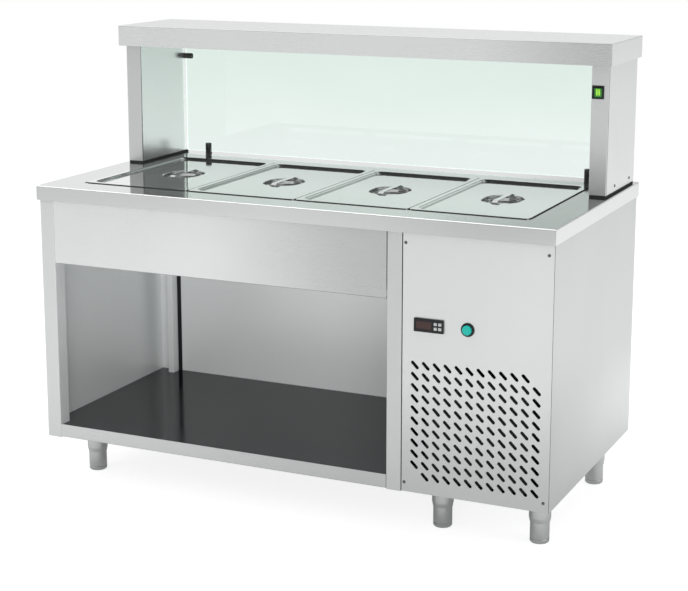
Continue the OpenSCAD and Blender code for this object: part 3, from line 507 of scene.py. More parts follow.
def black_laminate():
    material, place = new_finish("black_laminate")
    grit = place.noise(900.0, 2.0)
    cloud = place.noise(5.0, 4.0, 0.55)
    scuffs = place.stretched(60.0, 420.0, 60.0).noise(1.0, 4.0, 0.7).clamped(0.62, 0.8)
    return dress(material, {
        "Base Color": (0.6 * cloud + 0.4 * scuffs).tint(
            (0.004, 0.005, 0.006), (0.013, 0.015, 0.016)),
        "Roughness": 0.1 + 0.12 * (cloud - 0.5) + 0.10 * scuffs + 0.06 * grit,
        "Specular IOR Level": 0.3, "Normal": grit.bump(0.05, 0.0001)})


board_lo, board_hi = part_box("bay_floor")
board_outline = [
    (bay_l, board_lo.y), (board_hi.x, board_lo.y), (board_hi.x, board_hi.y),
    (board_lo.x, board_hi.y), (board_lo.x, post_back), (bay_l, post_back)]


def plate(name, outline, low, high, edge=0.4 * mm, segments=2, axis="Z"):
    """A flat plate with a softened edge, from its outline across an axis."""
    n = len(outline)
    points = [spot_on(axis, along, *spot) for along in (low, high) for spot in outline]
    faces = [tuple(range(n)), tuple(range(2 * n - 1, n - 1, -1))]
    faces += [(k, (k + 1) % n, n + (k + 1) % n, n + k) for k in range(n)]
    return modified(raw_mesh(name, points, faces), "BEVEL",
                    width=edge, segments=segments, angle_limit=math.radians(40))


finished(plate("bay_board", board_outline, board_lo.z, board_hi.z, 1 * mm), black_laminate(),
         ["bay_floor"])

# ---- Cabinet sides and divider ----
# The left side is one sheet folded round the front into a post. The right side and the
# divider have welded angles behind the service panel, which its screws go into.


def recolour_faces(thing, material, chosen):
    """Gives some of a piece's faces a material of their own, used for real finishes and for painted
    light and shade.
    """
    thing.data.materials.append(material)
    for polygon in thing.data.polygons:
        if chosen(polygon):
            polygon.material_index = len(thing.data.materials) - 1


# A paler, less metallic copy of the steel paints light into the bay: the left side's inner faces,
# the posts and the back sheet.
bay_steel_painted_light = brushed_steel("bay_steel_painted_light", 2, 0.9, 0.34, 0.38)
left_side = folded_sheet(
    "left_side", [(body_l, back), (body_l, front), (bay_l, front), (bay_l, post_back),
                  (bay_l - 16 * mm, post_back)], "Z", cabinet_low, under_top, 1)
finished(left_side, brushed_steel("steel_grain_up", 2, 0.74, 0.3, 0.68), ["left_side_panel"])
# The left side's inner faces take the paler steel, painted light.
recolour_faces(left_side, bay_steel_painted_light, lambda face: face.normal.x > 0.9)

angle_y = front + 13.5 * mm
angle_w = 20 * mm
angle_leg = 14 * mm
angle_low = cabinet_low + 2 * mm
right_side = joined("right_side", [
    folded_sheet("skin", [(body_r, back), (body_r, front + sheet)],
                 "Z", cabinet_low, under_top, -1),
    folded_sheet("angle", [(body_r - sheet, angle_y + angle_leg), (body_r - sheet, angle_y),
                           (body_r - angle_w, angle_y)], "Z", angle_low, under_top, -1)])
# The right side's colour darkens towards its top, a painted shade.
side_steel = brushed_steel("side_steel", 2, 0.75, 0.3, 0.68, (2, 0.15, 0.45, 0.34))
finished(right_side, side_steel, ["right_side_panel"])

well_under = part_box("well_casing")[0].z
divider = joined("divider", [
    folded_sheet("post", [(service_l, post_back - 5 * mm), (service_l, front), (divider_l, front),
                          (divider_l, post_back)], "Z", cabinet_low, under_top, -1),
    folded_sheet("wall", [(divider_l, post_back - sheet), (divider_l, back - sheet)],
                 "Z", frame_top, well_under, -1),
    folded_sheet("angle", [(service_l, angle_y + angle_leg), (service_l, angle_y),
                           (service_l + angle_w, angle_y)], "Z", angle_low, under_top, 1)])
finished(divider, brushed_steel("divider_steel", 2, 0.62, 0.3, 0.72), ["divider_wall"])
# A near-black steel that paints shade into gaps, seams and hollows.
painted_shade_steel = brushed_steel("painted_shade_steel", 0, 0.05, 0.55, 0.4)
# The divider's right-facing faces, which look into the cooling compartment, are painted near black:
# painted shade.
recolour_faces(divider, painted_shade_steel, lambda face: face.normal.x > 0.8)

# ---- Back of the bay ----
# A flat sheet closes the bay behind, between two folded corner posts that stand on the board.
# A near-black wedge in the left corner is a painted shadow where the post meets the back sheet.
# The back sheet takes the paler steel, painted light.
paint_nodes(bay_steel_painted_light, "bay_back_panel")


def plain_coat(name, dark, light, roughness, scale=60.0, metallic=0.0, relief=0.1, coat=0.0):
    """A moulded, painted or cast surface: clouds of colour, fine grain and faint scuffs."""
    material, place = new_finish(name)
    cloud = place.noise(scale * 0.12, 4.0, 0.55)
    grain = place.noise(scale * 14.0, 3.0, 0.6)
    scuff = place.noise(scale * 0.9, 5.0, 0.7).clamped(0.58, 0.78)
    return dress(material, {
        "Base Color": (0.7 * cloud + 0.3 * scuff).tint(dark, light), "Metallic": metallic,
        "Roughness": roughness + 0.12 * (cloud - 0.5) + 0.08 * scuff + 0.06 * (grain - 0.5),
        "Coat Weight": coat, "Normal": grain.bump(relief, 0.00015)})


posts_lo, posts_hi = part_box("bay_rear_posts")
post_w = 20 * mm
posts = joined("bay_posts", [
    folded_sheet("post", [(x, posts_hi.y), (x, posts_lo.y), (x + post_w, posts_lo.y),
                          (x + post_w, posts_hi.y)], "Z", posts_lo.z, posts_hi.z, 1)
    for x in (posts_lo.x, posts_hi.x - post_w)])
finished(posts, bay_steel_painted_light, ["bay_rear_posts"])
# The wedge is painted shadow, in a near-black coat.
corner_shade_x, corner_shade_y, corner_shade_size = posts_lo.x + post_w, posts_hi.y - 0.5 * mm, 9 * mm
corner_shade_outline = [(corner_shade_x, corner_shade_y - corner_shade_size), (corner_shade_x + corner_shade_size, corner_shade_y), (corner_shade_x, corner_shade_y)]
finished(plate("bay_corner_painted_shadow", corner_shade_outline, posts_lo.z, posts_hi.z, 0.3 * mm),
         plain_coat("painted_shadow_black", (0.008, 0.008, 0.009), (0.02, 0.02, 0.022), 0.5))
paint_nodes(steel_x, "rear_panel")

# ---- Well ----
# A deep-drawn tub hangs under the worktop with foam and a zinc casing round it, cooled by a
# copper tube. A brass valve with a red lever drains it into the compartment.


def copper_lines():
    """Copper tube round the tub; below it the lines are coloured black, a painted shade in the
    compartment.
    """
    material, place = new_finish("copper_tube")
    copper_shows = place.part(2).clamped(painted_shade_top, painted_shade_top + 5 * mm)
    tube = place.noise(90.0, 3.0).tint((0.48, 0.20, 0.10), (0.72, 0.36, 0.20))
    shade = copper_shows.tint((0.012, 0.012, 0.012), tube)
    return dress(material, {"Base Color": shade, "Metallic": copper_shows, "Roughness": 0.75 - 0.43 * copper_shows})


# Below this height the copper lines are painted black: painted shade.
painted_shade_top = 640 * mm
foam = plain_coat("foam", (0.62, 0.52, 0.28), (0.80, 0.70, 0.44), 0.85, 120.0, 0.0, 0.6)
brass = plain_coat("cast_brass", (0.50, 0.34, 0.12), (0.72, 0.54, 0.24), 0.34, 90.0, 1.0)
red = plain_coat("red_plastic", (0.42, 0.02, 0.015), (0.58, 0.04, 0.03), 0.4, 80.0)
paint_nodes(brushed_steel("tub_steel", 0, 0.72, 0.26), "well_tub", "divider_bars")
paint_nodes(foam, "well_insulation")
paint_nodes(copper_lines(), "evaporator_coil")
paint_nodes(brass, "drain_valve")
paint_nodes(red, "drain_lever")

# ---- Cooling unit ----
# A hermetic compressor on rubber mounts, a finned condenser with a fan behind it, and a grey
# box with the relays. The mains cable comes in through a gland in the floor plate.
black_paint = plain_coat("black_paint", (0.012, 0.012, 0.013), (0.03, 0.03, 0.032), 0.36, 70.0)
rubber = plain_coat(
    "black_rubber", (0.012, 0.012, 0.012), (0.028, 0.028, 0.028), 0.62, 120.0, 0.0, 0.25)
black_plastic = plain_coat(
    "black_plastic", (0.003, 0.003, 0.004), (0.008, 0.008, 0.010), 0.42, 160.0, 0.0, 0.12)
# The condenser's aluminium fins are coloured near black: painted shade in the compartment.
fins = plain_coat("fin_aluminium", (0.03, 0.03, 0.032), (0.07, 0.072, 0.075), 0.5, 120.0, 0.4)
aluminium = plain_coat("rolled_aluminium", (0.42, 0.43, 0.44), (0.62, 0.63, 0.64), 0.36, 120.0, 1.0)
grey_paint = plain_coat("grey_paint", (0.52, 0.52, 0.50), (0.62, 0.62, 0.60), 0.5, 90.0)
paint_nodes(black_paint, "compressor", "fan_motor")
paint_nodes(rubber, "compressor_mounts")
paint_nodes(fins, "condenser")
paint_nodes(aluminium, "fan")
paint_nodes(grey_paint, "electrical_box")
paint_nodes(black_plastic, "cable_gland")

# ---- Apron ----
# One sheet hangs under the worktop in front of the well, with its lower edge folded back.
apron_lo, apron_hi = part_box("apron")
apron = folded_sheet(
    "front_apron", [(front + 20 * mm, apron_lo.z), (front, apron_lo.z), (front, apron_hi.z)],
    "X", apron_lo.x, apron_hi.x, -1)
# The apron's colour darkens towards its right end, a painted shade.
finished(apron, brushed_steel("apron_steel", 0, 0.9, painted_shade=(0, -0.3, 0.35, 0.48)), ["apron"])

# ---- Service panel ----
# A shallow tray of sheet closes the cooling compartment. A block of slanted slots is punched
# through it for the condenser's air. Painted shadow darkens the corner at its right edge.
slot_columns, slot_rows = 12, 11
slot_pitch = 29.5 * mm
slot_length, slot_width = 27 * mm, 9 * mm
slot_low = 48 * mm
slot_slant = math.radians(45)
panel_lo, panel_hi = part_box("service_panel")
control_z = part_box("controller")[0].z + 17.5 * mm


def grown(name, build, sizes, material):
    """Builds a geometry node tree with named sizes and turns its result into a plain mesh."""
    tree = bpy.data.node_groups.new(name, "GeometryNodeTree")
    kinds = {int: "NodeSocketInt", float: "NodeSocketFloat", tuple: "NodeSocketVector"}
    tree.interface.new_socket("Geometry", in_out="OUTPUT", socket_type="NodeSocketGeometry")
    for label, value in sizes.items():
        tree.interface.new_socket(label, in_out="INPUT", socket_type=kinds[type(value)])
    entry = tree.nodes.new("NodeGroupInput")
    shape = build({label: Wire(tree, entry.outputs[label]) for label in sizes})
    real = shape.node("GeometryNodeRealizeInstances", {}, {0: shape})
    painted = real.node("GeometryNodeSetMaterial", {}, {"Geometry": real, "Material": material})
    leave = tree.nodes.new("NodeGroupOutput")
    tree.links.new(painted.socket, leave.inputs[0])
    made = raw_mesh(name, [(0, 0, 0)], [])
    modifier = made.modifiers.new(name, "NODES")
    modifier.node_group = tree
    for item in tree.interface.items_tree:
        if item.in_out == "INPUT":
            modifier[item.identifier] = sizes[item.name]
    return baked(made)


def slot_cutters(size):
    """Upright grid of slanted bars with round ends, less one at each of two corners."""
    add = size["Pitch"].node
    columns, rows, pitch = size["Columns"], size["Rows"], size["Pitch"]
    outline = add("GeometryNodeCurvePrimitiveQuadrilateral", {},
                  {"Width": size["Slot length"], "Height": size["Slot width"]})
    outline = add("GeometryNodeFilletCurve", {"mode": "POLY"},
                  {"Curve": outline, "Radius": size["Slot width"] * 0.499, "Count": 5})
    stem = add("GeometryNodeCurvePrimitiveLine", {},
               {"Start": (0.0, 4 * mm, 0.0), "End": (0.0, -4 * mm, 0.0)})
    bar = add("GeometryNodeCurveToMesh", {},
              {"Curve": stem, "Profile Curve": outline, "Fill Caps": True})
    grid = add("GeometryNodeMeshGrid", {}, {
        "Size X": (columns - 1) * pitch, "Size Y": (rows - 1) * pitch,
        "Vertices X": columns, "Vertices Y": rows})
    number = add("GeometryNodeInputIndex")
    first, last = (
        add("FunctionNodeCompare", {"data_type": "INT", "operation": "EQUAL"}, {2: number, 3: at})
        for at in (0, columns * rows - 1))
    either = add("FunctionNodeBooleanMath", {"operation": "OR"}, {0: first, 1: last})
    grid = add("GeometryNodeDeleteGeometry", {}, {"Geometry": grid, "Selection": either})
    upright = add("GeometryNodeTransform", {}, {
        "Geometry": grid, "Translation": size["Centre"], "Rotation": (math.radians(90), 0.0, 0.0)})
    return add("GeometryNodeInstanceOnPoints", {},
               {"Points": upright, "Instance": bar, "Rotation": (0.0, slot_slant, 0.0)})


panel_mid_x = (service_l + body_r) / 2
slots_mid_z = cabinet_low + slot_low + (slot_rows - 1) * slot_pitch / 2
slots = grown("panel_slots", slot_cutters, {
    "Columns": slot_columns, "Rows": slot_rows, "Pitch": slot_pitch, "Slot length": slot_length,
    "Slot width": slot_width, "Centre": (panel_mid_x, front + sheet / 2, slots_mid_z)}, steel_x)


def soft_block(name, low, high, edge, segments=2):
    """A block with round edges, between two corners."""
    (x0, y0, z0), (x1, y1, z1) = low, high
    return plate(name, [(x0, y0), (x1, y0), (x1, y1), (x0, y1)], z0, z1, edge, segments)


def cut(thing, cutter):
    """Cuts one shape out of another and throws the cutter away."""
    modified(thing, "BOOLEAN", operation="DIFFERENCE", solver="EXACT", object=cutter)
    bpy.data.objects.remove(cutter)
    return thing


panel_gap = 1.3 * mm
tray = soft_block("tray", (panel_lo.x + panel_gap, front, panel_lo.z),
                  (body_r, front + sheet, panel_hi.z), 0.35 * mm)
cut(tray, slots)
lip = 1.6 * mm
flange = [
    soft_block("flange", (panel_lo.x + lip, front + sheet, z0),
               (body_r - lip, angle_y, z0 + sheet), 0.2 * mm, 1)
    for z0 in (panel_lo.z + lip, panel_hi.z - lip - sheet)]
flange += [
    soft_block("flange", (x0, front + sheet, panel_lo.z + lip + sheet),
               (x0 + sheet, angle_y, panel_hi.z - lip - sheet), 0.2 * mm, 1)
    for x0 in (panel_lo.x + lip, body_r - lip - sheet)]
# The panel's colour darkens towards its foot, a painted shade.
panel_steel = brushed_steel("panel_steel", 2, 0.74, 0.3, 0.68, (2, 0.5, 0.16, 0.3))
panel = joined("slotted_panel", [tray, *flange])
finished(panel, panel_steel, ["service_panel"])
# A near-black strip behind the panel's right edge, and that edge's face, are painted shadow.
panel_shadow_y = front + sheet + 0.2 * mm
finished(soft_block("panel_corner_shadow", (body_r - 0.6 * mm, panel_shadow_y, panel_lo.z),
                    (body_r + 0.1 * mm, panel_shadow_y + 2 * mm, panel_hi.z), 0.05 * mm, 1),
         brushed_steel("panel_corner_shadow_steel", 2, 0.09, 0.5, 0.5))
recolour_faces(panel, painted_shade_steel,
           lambda face: face.normal.x > 0.7 and face.center.x > body_r - 1 * mm)

# ---- Screws ----
# Stainless pan-head screws with a cross recess hold the service panel and the columns.


def pan_head(name, centre, axis, facing, radius=4.2 * mm, height=1.6 * mm):
    """A screw head standing on a face. facing is the sign of the axis it looks along."""
    profile = [(0, 0), (radius * 0.98, 0), (radius, height * 0.25), (radius * 0.93, height * 0.66),
               (radius * 0.72, height * 0.93), (radius * 0.4, height), (0, height)]
    head = lathe(name, [(r, facing * h) for r, h in profile], centre, axis, 24)
    long, short = radius * 0.55, radius * 0.13
    bottom, above_head = facing * height * 0.35, facing * height * 1.5
    for u, v in ((short, long), (long, short)):
        ends = spot_on(axis, bottom, -u, -v), spot_on(axis, above_head, u, v)
        low, high = ([c + pick(pair) for c, *pair in zip(centre, *ends)] for pick in (min, max))
        cut(head, soft_block("recess", low, high, 0.01 * mm, 1))
    return head


column_lo, column_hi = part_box("column_right")
top_lo, top_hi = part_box("worktop")
heads = [pan_head("screw", (x, front, z), "Y", -1)
         for x in (service_l + 10 * mm, body_r - 14 * mm)
         for z in (cabinet_low + 27 * mm, top_hi.z - 67 * mm)]
screw_z = column_lo.z + 15 * mm
heads += [pan_head("screw", (side * column_hi.x, y, screw_z), "X", side)
          for side in (-1, 1) for y in (168 * mm, 312 * mm)]
screw_steel = plain_coat("screw_steel", (0.12, 0.12, 0.12), (0.30, 0.30, 0.29), 0.3, 300.0, 1.0)
finished(joined("pan_head_screws", heads), screw_steel, ["cover_screws"])

# ---- Worktop ----
# A single sheet with a cut-out for the well, folded down all round. Its corners are welded
# and ground flush. The pans' rims hang on the ledge below the cut-out.


def loops_shell(name, loops, closed_end, thickness, centre=(0, 0, 0)):
    """A drawn sheet: a strip through loops of (width, depth, corner radius, height), which run
    from its outer edge up and inwards, with its thickness below them."""
    points, faces = [], []
    for width, depth, radius, height in loops:
        points += [(x, y, height) for x, y in ring(width, depth, radius, 8)]
    n = len(points) // len(loops)
    for k in range(len(loops) - 1):
        for i in range(n):
            j = (i + 1) % n
            faces.append((k * n + i, k * n + j, (k + 1) * n + j, (k + 1) * n + i))
    if closed_end:
        faces.append(tuple(range((len(loops) - 1) * n, len(loops) * n)))
    mesh = bpy.data.meshes.new(name)
    mesh.from_pydata([tuple(c + p for c, p in zip(centre, point)) for point in points], [], faces)
    return modified(placed(name, mesh), "SOLIDIFY",
                    thickness=thickness, offset=-1.0, use_even_offset=True)


def eased(width, depth, radius, height, r, outward, rising, steps=5):
    """The loops of one rounded fold, from flat to upright. outward is 1 for a fold at the
    outside of a sheet and -1 at the edge of a hollow in it. rising is 1 where the upright
    part goes up from the flat, and -1 where it goes down."""
    loops = []
    for k in range(steps + 1):
        angle = math.radians(90 * k / steps)
        inset = r * (1 - math.sin(angle)) * outward
        lift = r * (1 - math.cos(angle)) * rising
        loops.append((width - 2 * inset, depth - 2 * inset, max(radius - inset, 0.2 * mm),
                      height + lift))
    return loops


top_w, top_d = top_hi.x - top_lo.x, top_hi.y - top_lo.y
top_bend = 3 * mm
pan_y = -20 * mm
cut_w, cut_d, cut_r = 1309 * mm, 541 * mm, 14 * mm
top_corner = top_bend + 0.5 * mm
top_loops = [(top_w, top_d, top_corner, top_lo.z)]
top_loops += eased(top_w, top_d, top_corner, top_hi.z, top_bend, 1, -1)[::-1]
top_loops.append((cut_w, cut_d, cut_r, top_hi.z))
worktop = loops_shell("folded_worktop", top_loops, False, sheet)
# The last loop is the cut-out, which lies off the worktop's centre.
for vertex in worktop.data.vertices:
    if abs(vertex.co.x) < cut_w / 2 + 1 * mm and abs(vertex.co.y) < cut_d / 2 + 1 * mm:
        vertex.co.y += pan_y
# The worktop's colour darkens towards its right end, a painted shade.
worktop_steel = brushed_steel("worktop_steel", 0, 0.78, 0.09, 0.94, (0, -0.1, 0.7, 0.34))
finished(worktop, worktop_steel, ["worktop"])
end_steel = brushed_steel("end_steel", 1, 0.74, 0.3, 0.6)
# The flat top takes a darker copy of the steel that darkens further to the right: painted shade.
top_steel = brushed_steel("top_steel", 0, 0.66, 0.09, 0.94, (0, 0.3, 0.7, 0.6))
recolour_faces(worktop, end_steel, lambda face: abs(face.normal.x) > 0.7)
recolour_faces(worktop, top_steel, lambda face: face.normal.z > 0.95)
# The bend along the front is painted bright: a painted highlight.
bend_highlight_steel = brushed_steel("bend_highlight_steel", 0, 0.98, 0.35, 0.2)
recolour_faces(worktop, bend_highlight_steel,
           lambda face: face.normal.y < -0.25 and 0.25 < face.normal.z < 0.97)

# ---- Pans ----
# Four drawn stainless food pans hang by their rims. A rim's edge is turned down, and its upright
# faces there are painted near black: painted shade.


def rim_edge(centre_x, width, length):
    """Tells whether a face stands upright round the outside of a rim."""
    def chosen(face):
        beyond = max(abs(face.center.x - centre_x) - width / 2,
                     abs(face.center.y - pan_y) - length / 2)
        return beyond > -2.6 * mm and abs(face.normal.z) < 0.93
    return chosen


pan_steel = brushed_steel("pan_steel", 1, 0.76, 0.14, 0.94)
pan_sheet = 1 * mm
bowl_w, bowl_l, bowl_r = 300 * mm, 505 * mm, 28 * mm
bowl = (bowl_w - 2 * pan_sheet, bowl_l - 2 * pan_sheet, bowl_r)
rim_r, rim_drop, rim_bend = 12 * mm, 9 * mm, 2.5 * mm
for k in range(1, 5):
    lo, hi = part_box(f"pan_{k}")
    centre = ((lo.x + hi.x) / 2, pan_y, 0)
    rim = (hi.x - lo.x, hi.y - lo.y, rim_r)
    loops = [(*rim, hi.z - rim_drop)]
    loops += eased(*rim, hi.z, rim_bend, 1, -1)[::-1]
    loops += eased(*bowl, hi.z, rim_bend, -1, -1)
    # This last fold runs up from the floor, so the walls lean in and a ledge stands out.
    loops += eased(*bowl, lo.z + pan_sheet, 16 * mm, 1, 1, 6)
    pan = loops_shell(f"food_pan_{k}", loops, True, pan_sheet, centre)
    finished(pan, pan_steel, [f"pan_{k}"], f"pan_{k}")
    # The rim's upright outer faces are painted near black: painted shade.
    recolour_faces(pan, painted_shade_steel, rim_edge(centre[0], *rim[:2]))

# ---- Lids ----
# Each pan has a pressed lid with a stepped rim. A strap welded across its oval dish is the
# grip.
# The lid's colour darkens towards its rear, a painted shade.
lid_steel = brushed_steel("lid_steel", 1, 0.75, 0.07, 0.96, (1, -0.12, 0.24, 0.2))
step_w, step_l, step_r = bowl_w - 6 * mm, bowl_l - 6 * mm, bowl_r - 4 * mm
slope = 9 * mm
dish = (105 * mm, 130 * mm, 50 * mm)
dish_drop = 12 * mm
strap_w, strap_t = 15 * mm, 2 * mm
reach = dish[1] / 2 + 8 * mm
for k in range(1, 5):
    lo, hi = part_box(f"lid_{k}")
    rim_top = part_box(f"pan_{k}")[1].z + pan_sheet
    centre = ((lo.x + hi.x) / 2, pan_y, 0)
    mid_z = hi.z - 6 * mm
    loops = [(hi.x - lo.x, hi.y - lo.y, rim_r, rim_top)]
    loops += eased(step_w, step_l, step_r, rim_top, 1.4 * mm, -1, -1, 4)
    loops += eased(step_w - slope, step_l - slope, step_r - slope / 2, mid_z, 1.6 * mm,
                   1, 1, 4)[::-1]
    loops += eased(*dish, mid_z, 3 * mm, -1, -1)
    loops += eased(*dish, mid_z - dish_drop, 5 * mm, 1, 1)[::-1]
    skin = loops_shell("skin", loops, True, pan_sheet, centre)
    half = [(reach, mid_z), (reach - 8 * mm, mid_z), (reach - 14 * mm, hi.z - strap_t)]
    strap = folded_sheet(
        "strap", [(pan_y - y, z) for y, z in half] + [(pan_y + y, z) for y, z in half[::-1]],
        "X", centre[0] - strap_w / 2, centre[0] + strap_w / 2, 1, strap_t, 3 * mm)
    lid = joined(f"pressed_lid_{k}", [skin, strap])
    finished(lid, lid_steel, [f"lid_{k}"], f"lid_{k}")
    # The lid's turned-down rim edge and the rear slope of its step are painted near black: painted
    # shade.
    recolour_faces(lid, painted_shade_steel, rim_edge(centre[0], hi.x - lo.x, hi.y - lo.y))
    recolour_faces(lid, painted_shade_steel,
               lambda face: face.center.y > pan_y + step_l / 2 - slope and face.normal.y < -0.3)

# ---- Columns ----
# Each column is a folded steel case on a black foot seal. Narrow joints show where its side
# plates meet the front, and the right one is cut for the light's switch.
col_f = column_lo.y
cell_lo, cell_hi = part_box("switch_bezel")
switch_x, _, switch_z = (cell_lo + cell_hi) / 2
# Half the width and height of the hole for the switch.
hole_w, hole_h = 13.5 * mm, 14.9 * mm
column_steel = brushed_steel("column_steel", 2, 0.68, 0.3, 0.72)
# The columns' inner faces take a paler copy of the steel: painted light.
inner_steel_painted_light = brushed_steel("inner_steel_painted_light", 2, 0.84, 0.26, 0.9)
for side, node in ((-1, "column_left"), (1, "column_right")):
    lo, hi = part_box(node)
    case = box_tube("case", "Z", lo.z, hi.z, ((lo.x + hi.x) / 2, (lo.y + hi.y) / 2),
                    hi.x - lo.x, hi.y - lo.y, sheet)
    for x in (lo.x, hi.x):
        cut(case, soft_block("seam", (x - 1 * mm, col_f + 2.2 * mm, lo.z - 1 * mm),
                             (x + 1 * mm, col_f + 4.4 * mm, hi.z + 1 * mm), 0.1 * mm, 1))
    if side > 0:
        cut(case, soft_block("hole", (switch_x - hole_w, col_f - 2 * mm, switch_z - hole_h),
                             (switch_x + hole_w, col_f + 4 * mm, switch_z + hole_h), 0.1 * mm, 1))
    finished(case, column_steel, [node])
    recolour_faces(case, inner_steel_painted_light, lambda face: face.normal.x * side < -0.8)
    # The faces of the seams are painted near black: painted shade.
    recolour_faces(case, painted_shade_steel, lambda face: 2.1 * mm < face.center.y - col_f < 4.5 * mm)
paint_nodes(rubber, "column_gaskets")

# ---- Overhead shelf ----
# A folded sheet with welded ends rests on the columns, and hides a lamp tube in its hollow.
shelf_lo, shelf_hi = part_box("overhead_shelf")
shelf = (shelf_hi.x - shelf_lo.x, shelf_hi.y - shelf_lo.y, 3 * mm)
hood_loops = [(*shelf, shelf_lo.z), *eased(*shelf, shelf_hi.z, 2.5 * mm, 1, -1)[::-1]]
shelf_parts = [loops_shell("hood", hood_loops, True, sheet,
                           (0, (shelf_lo.y + shelf_hi.y) / 2, 0))]
end_w = 71.5 * mm
inner_l, inner_r = shelf_lo.x + end_w, shelf_hi.x - end_w
for x0, x1, y1 in ((inner_l, inner_r, shelf_lo.y + 18 * mm),
                   (shelf_lo.x + sheet, inner_l, shelf_hi.y - sheet),
                   (inner_r, shelf_hi.x - sheet, shelf_hi.y - sheet)):
    shelf_parts.append(soft_block("lip", (x0, shelf_lo.y + sheet, shelf_lo.z),
                                  (x1, y1, shelf_lo.z + sheet), 0.3 * mm))
# The shelf's front darkens towards its right end, and its top takes a darker copy: painted shade.
shelf_steel = brushed_steel("shelf_steel", 0, 0.92, painted_shade=(0, 0.3, 0.76, 0.36))
shelf_top_steel = brushed_steel("shelf_top_steel", 0, 0.62, 0.24, 0.8)
hood = joined("shelf_hood", shelf_parts)
finished(hood, shelf_steel, ["overhead_shelf"])
recolour_faces(hood, end_steel, lambda face: abs(face.normal.x) > 0.7)
recolour_faces(hood, shelf_top_steel, lambda face: face.normal.z > 0.95)
lamp_white = plain_coat("lamp_white", (0.82, 0.83, 0.80), (0.88, 0.89, 0.86), 0.3, 60.0, 0.0, 0.02)
white_plastic = plain_coat("white_plastic", (0.66, 0.66, 0.63), (0.76, 0.76, 0.73), 0.42)
paint_nodes(lamp_white, "lamp_tube")
paint_nodes(white_plastic, "lamp_holders")

# ---- Glass screen ----
# A toughened pane with ground edges stands in two black pins on the worktop, and in a black
# clamp on each column.


def pane_glass():
    material, place = new_finish("clear_glass")
    wipe = place.stretched(2.0, 2.0, 5.0).noise(1.0, 5.0, 0.6)
    pale = 0.55 * (1.0 - place.part(2).clamped(glass_lo.z, glass_hi.z)) + 0.45 * wipe
    return dress(material, {
        "Base Color": pale.tint((0.70, 0.825, 0.765), (0.885, 0.945, 0.92)),
        "Roughness": 0.01 + 0.02 * wipe, "Transmission Weight": 1.0, "IOR": 1.5})


# The ground edges glow through their emission: a painted highlight.
def ground_edge_painted_glow():
    material, place = new_finish("ground_glass_edge_painted_glow")
    grit = place.noise(2400.0, 2.0)
    return dress(material, {
        "Base Color": grit.tint((0.72, 0.84, 0.78), (0.84, 0.93, 0.88)),
        "Roughness": 0.4 + 0.1 * grit,
        "Emission Color": (0.86, 0.97, 0.92, 1.0), "Emission Strength": 0.8})


glass_lo, glass_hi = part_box("glass_screen")
pane = soft_block("pane", glass_lo, glass_hi, 0.8 * mm, 1)
finished(pane, pane_glass(), ["glass_screen"], sharp=20)
recolour_faces(pane, ground_edge_painted_glow(), lambda face: abs(face.normal.y) <= 0.99)
pane.visible_shadow = False

black_chrome = plain_coat(
    "black_chrome", (0.012, 0.012, 0.013), (0.03, 0.03, 0.031), 0.2, 120.0, 0.0, 0.05, 0.5)
dark_chrome = plain_coat(
    "dark_chrome", (0.16, 0.16, 0.165), (0.26, 0.26, 0.265), 0.14, 120.0, 0.95, 0.05)


def gripping(name, rods):
    """Round black fittings with the pane's slot cut through them."""
    slack = 0.2 * mm
    slot = soft_block("slot", (glass_lo.x, glass_lo.y - slack, glass_lo.z),
                      (glass_hi.x, glass_hi.y + slack, glass_hi.z + 5 * mm), 0.05 * mm, 1)
    return cut(joined(name, rods), slot)


def rod_profile(radius, low, high):
    """A plain rod with its upper edge rounded."""
    return [(0, low), (radius, low), (radius, high - 2 * mm),
            (radius - 0.6 * mm, high - 0.6 * mm), (radius - 2 * mm, high), (0, high)]


pins_lo, pins_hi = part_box("glass_pins")
pin_r = (pins_hi.y - pins_lo.y) / 2
glass_y = (glass_lo.y + glass_hi.y) / 2
pin_profile = rod_profile(pin_r, pins_lo.z, pins_hi.z)
pins = gripping("pins", [lathe("pin", pin_profile, (x, glass_y, 0), "Z", 32)
                         for x in (pins_lo.x + pin_r, pins_hi.x - pin_r)])
finished(pins, dark_chrome, ["glass_pins"])
clamps_lo, clamps_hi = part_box("glass_clamps")
clamp_r = (clamps_hi.z - clamps_lo.z) / 2
clamp_profile = rod_profile(clamp_r, 0, 28 * mm)
clamp_z = clamps_lo.z + clamp_r
clamps = gripping("clamps", [
    lathe("clamp", [(r, h * way) for r, h in clamp_profile], (x, glass_y, clamp_z), "X", 32)
    for x, way in ((clamps_lo.x, 1), (clamps_hi.x, -1))])
finished(clamps, black_chrome, ["glass_clamps"])

# ---- Light switch ----
# A black bezel is snapped into the right column. Its rocker is lit green from inside when on,
# and turns on two small pivots.
# Half sizes again, of the cell behind the bezel and of the opening for the rocker.
cell_w, cell_h = hole_w - 0.1 * mm, hole_h - 0.1 * mm
open_w, open_h = 11 * mm, 13.4 * mm
bezel = joined("bezel", [
    soft_block("face", cell_lo, (cell_hi.x, col_f, cell_hi.z), 1.1 * mm, 3),
    soft_block("cell", (switch_x - cell_w, col_f - 1 * mm, switch_z - cell_h),
               (switch_x + cell_w, cell_hi.y, switch_z + cell_h), 0.3 * mm, 1)])
cut(bezel, soft_block("opening", (switch_x - open_w, cell_lo.y - 2 * mm, switch_z - open_h),
                      (switch_x + open_w, cell_hi.y - 2 * mm, switch_z + open_h), 0.3 * mm, 1))
finished(bezel, black_plastic, ["switch_bezel"])


